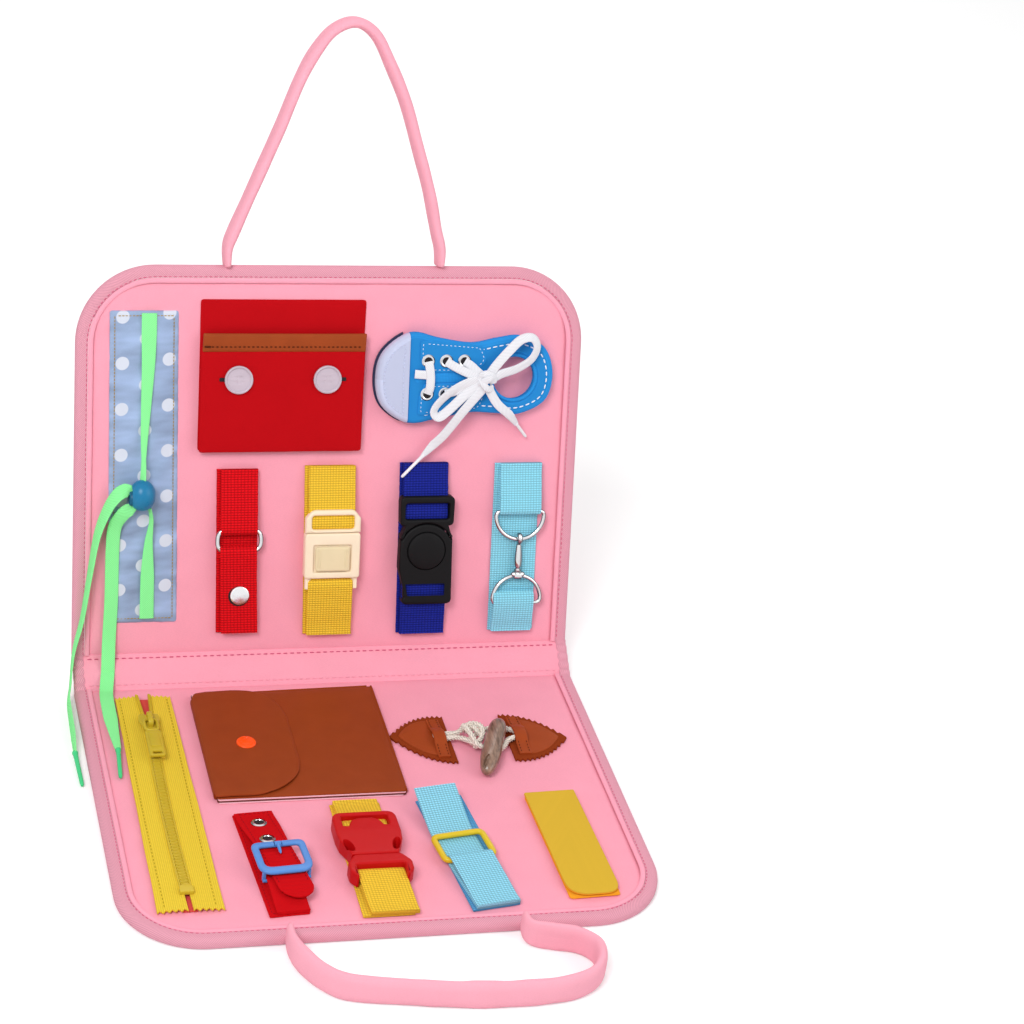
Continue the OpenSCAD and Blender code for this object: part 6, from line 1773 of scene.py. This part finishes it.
def dress_belt():
    """The felt belt: base, heel loop, tongue with eyelets, frame and prong."""
    base = slab("belt_base", [box_outline(BELT_U, 169.25, 22, 88.5, 0.8)], 0.02, 1.15, 0.35)
    put(base, ON_BELT, "belt_felt")
    border = box_outline(BELT_U, 169.25, 18.4, 84.9, 0.5)
    line = [(p[0], p[1], 1.1) for p in border]
    stitches("belt_border", [line + line[:1]], ON_BELT, "red_thread", 2.6, 1.7, 0.5, 0.3)
    strap("belt_heel", -61.7, 18, bar_loop(187, 213.2, 3.8, 2.8, 1.85), ON_BELT, "belt_felt",
          thick=1.1)
    profile = [(125.4, 1.7), (130.4, 1.9), (141, 3.8), (151, 5.7), (158, 6.9), (166, 7.1),
               (176, 7.1), (186, 7.1), (196, 6.9), (206.4, 6.4)]
    path = even(smooth([(-63.2 + 0.05 * (min(v, 160) - 125) + 0.117 * max(0, v - 160), v, h)
                        for v, h in profile], 5), 0.8)
    for p in path:
        p.z += 0.16 * math.sin(p.y * 2.1) * max(0.0, min(1.0, (p.y - 162) / 6))
    size = []
    for p in path:
        end = max(0.0, (p.y - 197) / 9.4)
        wide = 1.14 - 0.14 * max(0.0, min(1.0, (p.y - 140) / 20))
        size.append((wide * max(0.08, (1 - min(1, end) ** 2) ** 0.5), 1))
    tongue = sweep("belt_tongue", path, oval(19, 1.1, 20, 6), size=size, flat=True)
    put(tongue, ON_BELT, "belt_felt", "belt_straps", angle=50)
    edges = [[(p.x + x, p.y, p.z + 0.5) for p in path if p.y < 196] for x in (-7.9, 7.9)]
    cross = [(-63.1 + x, 127, 2.2) for x in (-8.6, 0, 8.6)]
    stitches("belt_tongue_seam", edges + [cross], ON_BELT, "red_thread", 2.6, 1.7, 0.5, 0.3)
    slope = math.radians(10.2)
    for k, (v, h) in enumerate(((137.5, 3.55), (156.4, 6.95))):
        lay_on = Matrix.Translation((-62.7, v, h)) @ Matrix.Rotation(slope, 4, "X")
        ring = turned("belt_eyelet_%d" % k, 0, 0, [(2.4, 0.1), (4.5, 0.1), (4.45, 0.6),
                                                   (3.7, 1.15), (2.8, 1.0), (2.35, 0.3)], 32)
        # a dark disc in each eyelet: painted shade in the hole
        hole = turned("belt_hole_%d" % k, 0, 0, [(2.34, 0.0), (2.34, 0.95), (0.3, 0.85)], 24)
        ring.data.transform(lay_on)
        hole.data.transform(lay_on)
        put(ring, ON_BELT, "steel", "belt_eyelets" if k == 0 else ())
        put(hole, ON_BELT, "dark_hole")
    rim = corners([(-74.2, 162, 4.5), (-44.2, 162, 4.5), (-44.2, 189, 8.5), (-74.2, 189, 8.5)], 8)
    window = corners([(-70.2, 165.9, 2), (-48.2, 165.9, 2), (-48.2, 183.5, 4), (-70.2, 183.5, 4)],
                     6)
    frame_plate = slab("frame", [rim, window], 8.2, 10.5, 1.1, 4)
    notch = slab("notch", [box_outline(PIN_U, 163, 4.6, 6, 0.2)], 9.2, 12.4, 0.1)
    cut(frame_plate, notch)
    posts = [slab("post", [box_outline(PIN_U + x * 12.4, 185.6, 1.8, 2.4, 0.5)], 2.8, 9.0, 0.4)
             for x in (-1, 1)]
    heel = cross_bar("heel", 187, (-72.4, PIN_U, -46), 3.8, 2, 12)
    put(join([frame_plate, heel] + posts, "belt_frame"), ON_BELT, "blue_plastic", "belt_buckle",
        body="belt_buckle")
    knuckle = cross_bar("knuckle", 164, (-61, PIN_U, -57.4), 9.4, 3.4, 16)
    spots = ((164, 10), (167, 9.8), (170.6, 9.3), (171.8, 9.1))
    pin = sweep("pin", [Vector((PIN_U, v, h)) for v, h in spots], oval(2.2, 1.8, 12),
                size=[(1, 1), (0.9, 0.95), (0.7, 0.8), (0.25, 0.3)])
    put(join([knuckle, pin], "belt_pin"), ON_BELT, "blue_plastic", "belt_prong", body="belt_prong")


dress_belt()


# ---- side release buckle ----

CLIP_U, PLUG_U = -8, -7


def dress_clip():
    """The yellow strap and its red side release buckle."""
    strap("clip_base", CLIP_U, 28.5, sewn(120.9, 160, 218.2), ON_LOWER,
          "yellow_web", "clip_straps")
    strap("clip_upper", CLIP_U, 25.4, bar_loop(148.5, 120.6), ON_LOWER, "yellow_web")
    strap("clip_lower", -4.6, 26.4, bar_loop(186.8, 218.4), ON_LOWER, "yellow_web", slant=0.08,
          body=("clip_plug", "lower_panel", (-4.6, 191.5, 4), (-4.6, 216, 4)))
    rim = [(-18, 140, 6), (18, 140, 6), (18.2, 158, 8), (17.4, 165, 4), (14.4, 172, 6),
           (13.2, 177, 0), (-13.2, 177, 0), (-14.4, 172, 6), (-17.4, 165, 4), (-18.2, 158, 8)]
    window = corners([(-13, 143.2, 1.2), (13, 143.2, 1.2), (13, 152, 1), (10, 152, 0.8),
                      (8, 147.4, 3), (4, 145.4, 3), (-4, 145.4, 3), (-8, 147.4, 3),
                      (-10, 152, 0.8), (-13, 152, 1)], 5)
    rim = [(p[0] + CLIP_U, p[1]) for p in corners(rim, 6)]
    window = [(p[0] + CLIP_U, p[1]) for p in window]
    shell = slab("clip_shell", [rim, window], 1.7, 10.7, 1.2, 4)
    for x in (-1, 1):
        eye = turned("eye", 0, 0, [(2.0, 4.0), (2.3, 7.5), (3.2, 12)], 28)
        eye.data.transform(Matrix.Translation((CLIP_U + x * 13.2, 169.4, 0))
                           @ Matrix.Rotation(x * 0.3, 4, "Z") @ Matrix.Diagonal((0.8, 1.9, 1, 1)))
        cut(shell, eye)
    bar = cross_bar("bar", 148.5, (-21, CLIP_U, 5))
    put(join([shell, bar], "clip_shell"), ON_LOWER, "red_plastic", "clip_socket")
    half = [(12.6, 177.3, 0), (14.0, 178.6, 2), (17.8, 184, 5), (17.6, 191, 4), (14.4, 195.2, 2),
            (13.4, 195, 0), (13.4, 185.4, 1)]
    outline = half + [(-u, v, r) for u, v, r in reversed(half)]
    rim = [(p[0] + PLUG_U, p[1]) for p in corners(outline, 6)]
    ears = slab("clip_ears", [rim], 1.7, 10.6, 1.2, 4)
    bar = cross_bar("bar", 189, (-21, PLUG_U, 7))
    arms = [slab("arm", [box_outline(PLUG_U + x * 8.6 - 1, 168.5, 3.2, 23, 1)], 4.2, 8.2, 0.4)
            for x in (-1, 1)]
    put(join([ears, bar] + arms, "clip_ears"), ON_LOWER, "red_plastic", "clip_plug",
        body="clip_plug")


dress_clip()


# ---- slanted strap with its loop ----

ON_GLIDE = turned_seat(44.5, 167.5, -8, 0)


def dress_glide():
    """The slanted blue strap and the loop that slides on it."""
    # the base strap takes the darker webbing: painted shade under the raised strap and the loop
    strap("glide_base", 3.0, 27.4, sewn(119, 160, 217), ON_GLIDE,
          "sky_web_low", "glide_straps", slant=-0.03)
    strap("glide_raised", -1.5, 24.6, [(172.4, 2.05), (160, 2.0), (153.5, 2.2), (147, 3.2),
                                       (139, 5.6), (130, 8.8), (121, 11.6)], ON_GLIDE, "sky_web",
          slant=-0.005)
    strap("glide_lower", 1.2, 25.0, bar_loop(178, 217, 4.8, 3.3, 2.55), ON_GLIDE, "sky_web",
          slant=0.05)
    loop = sweep("yellow_loop", frame_path(-0.6, 167.5, 28.8, 21, 3.4, 4.8), oval(3.5, 3.3, 16),
                 closed=True)
    put(loop, ON_GLIDE, "yellow_plastic", "loop_slider", angle=60, body="loop_slider")


dress_glide()


# ---- peel strip ----

ON_PEEL = turned_seat(105, 120, -1.9, 105, 1.02)


def dress_peel():
    """The touch strip and the strip that peels off it."""
    base = quilt("peel_base_felt", [(90.2, 120.2), (119.8, 120.2), (119.8, 210.8), (90.2, 210.8)],
                 0.05, 1.5, 3.0, 0.0, 0.15, 0.05, 61.0, drop=0.2)
    put(base, ON_PEEL, "strip_edge", "peel_base")
    rim = corners([(90.2, 120.2, 0.8), (119.8, 120.2, 0.8), (119.8, 210.4, 9), (90.2, 210.4, 12)],
                  8)
    top = slab("peel_top_felt", [rim], 1.95, 3.5, 0.45, 3)
    put(top, ON_PEEL, "strip_felt", "peel_top", body="peel_top")
    edge = sweep("peel_edge", [Vector((p[0], p[1], 2.4)) for p in inset(rim, 0.1)],
                 oval(0.4, 0.7, 8), closed=True)
    put(edge, ON_PEEL, "strip_edge", body="peel_top")


dress_peel()
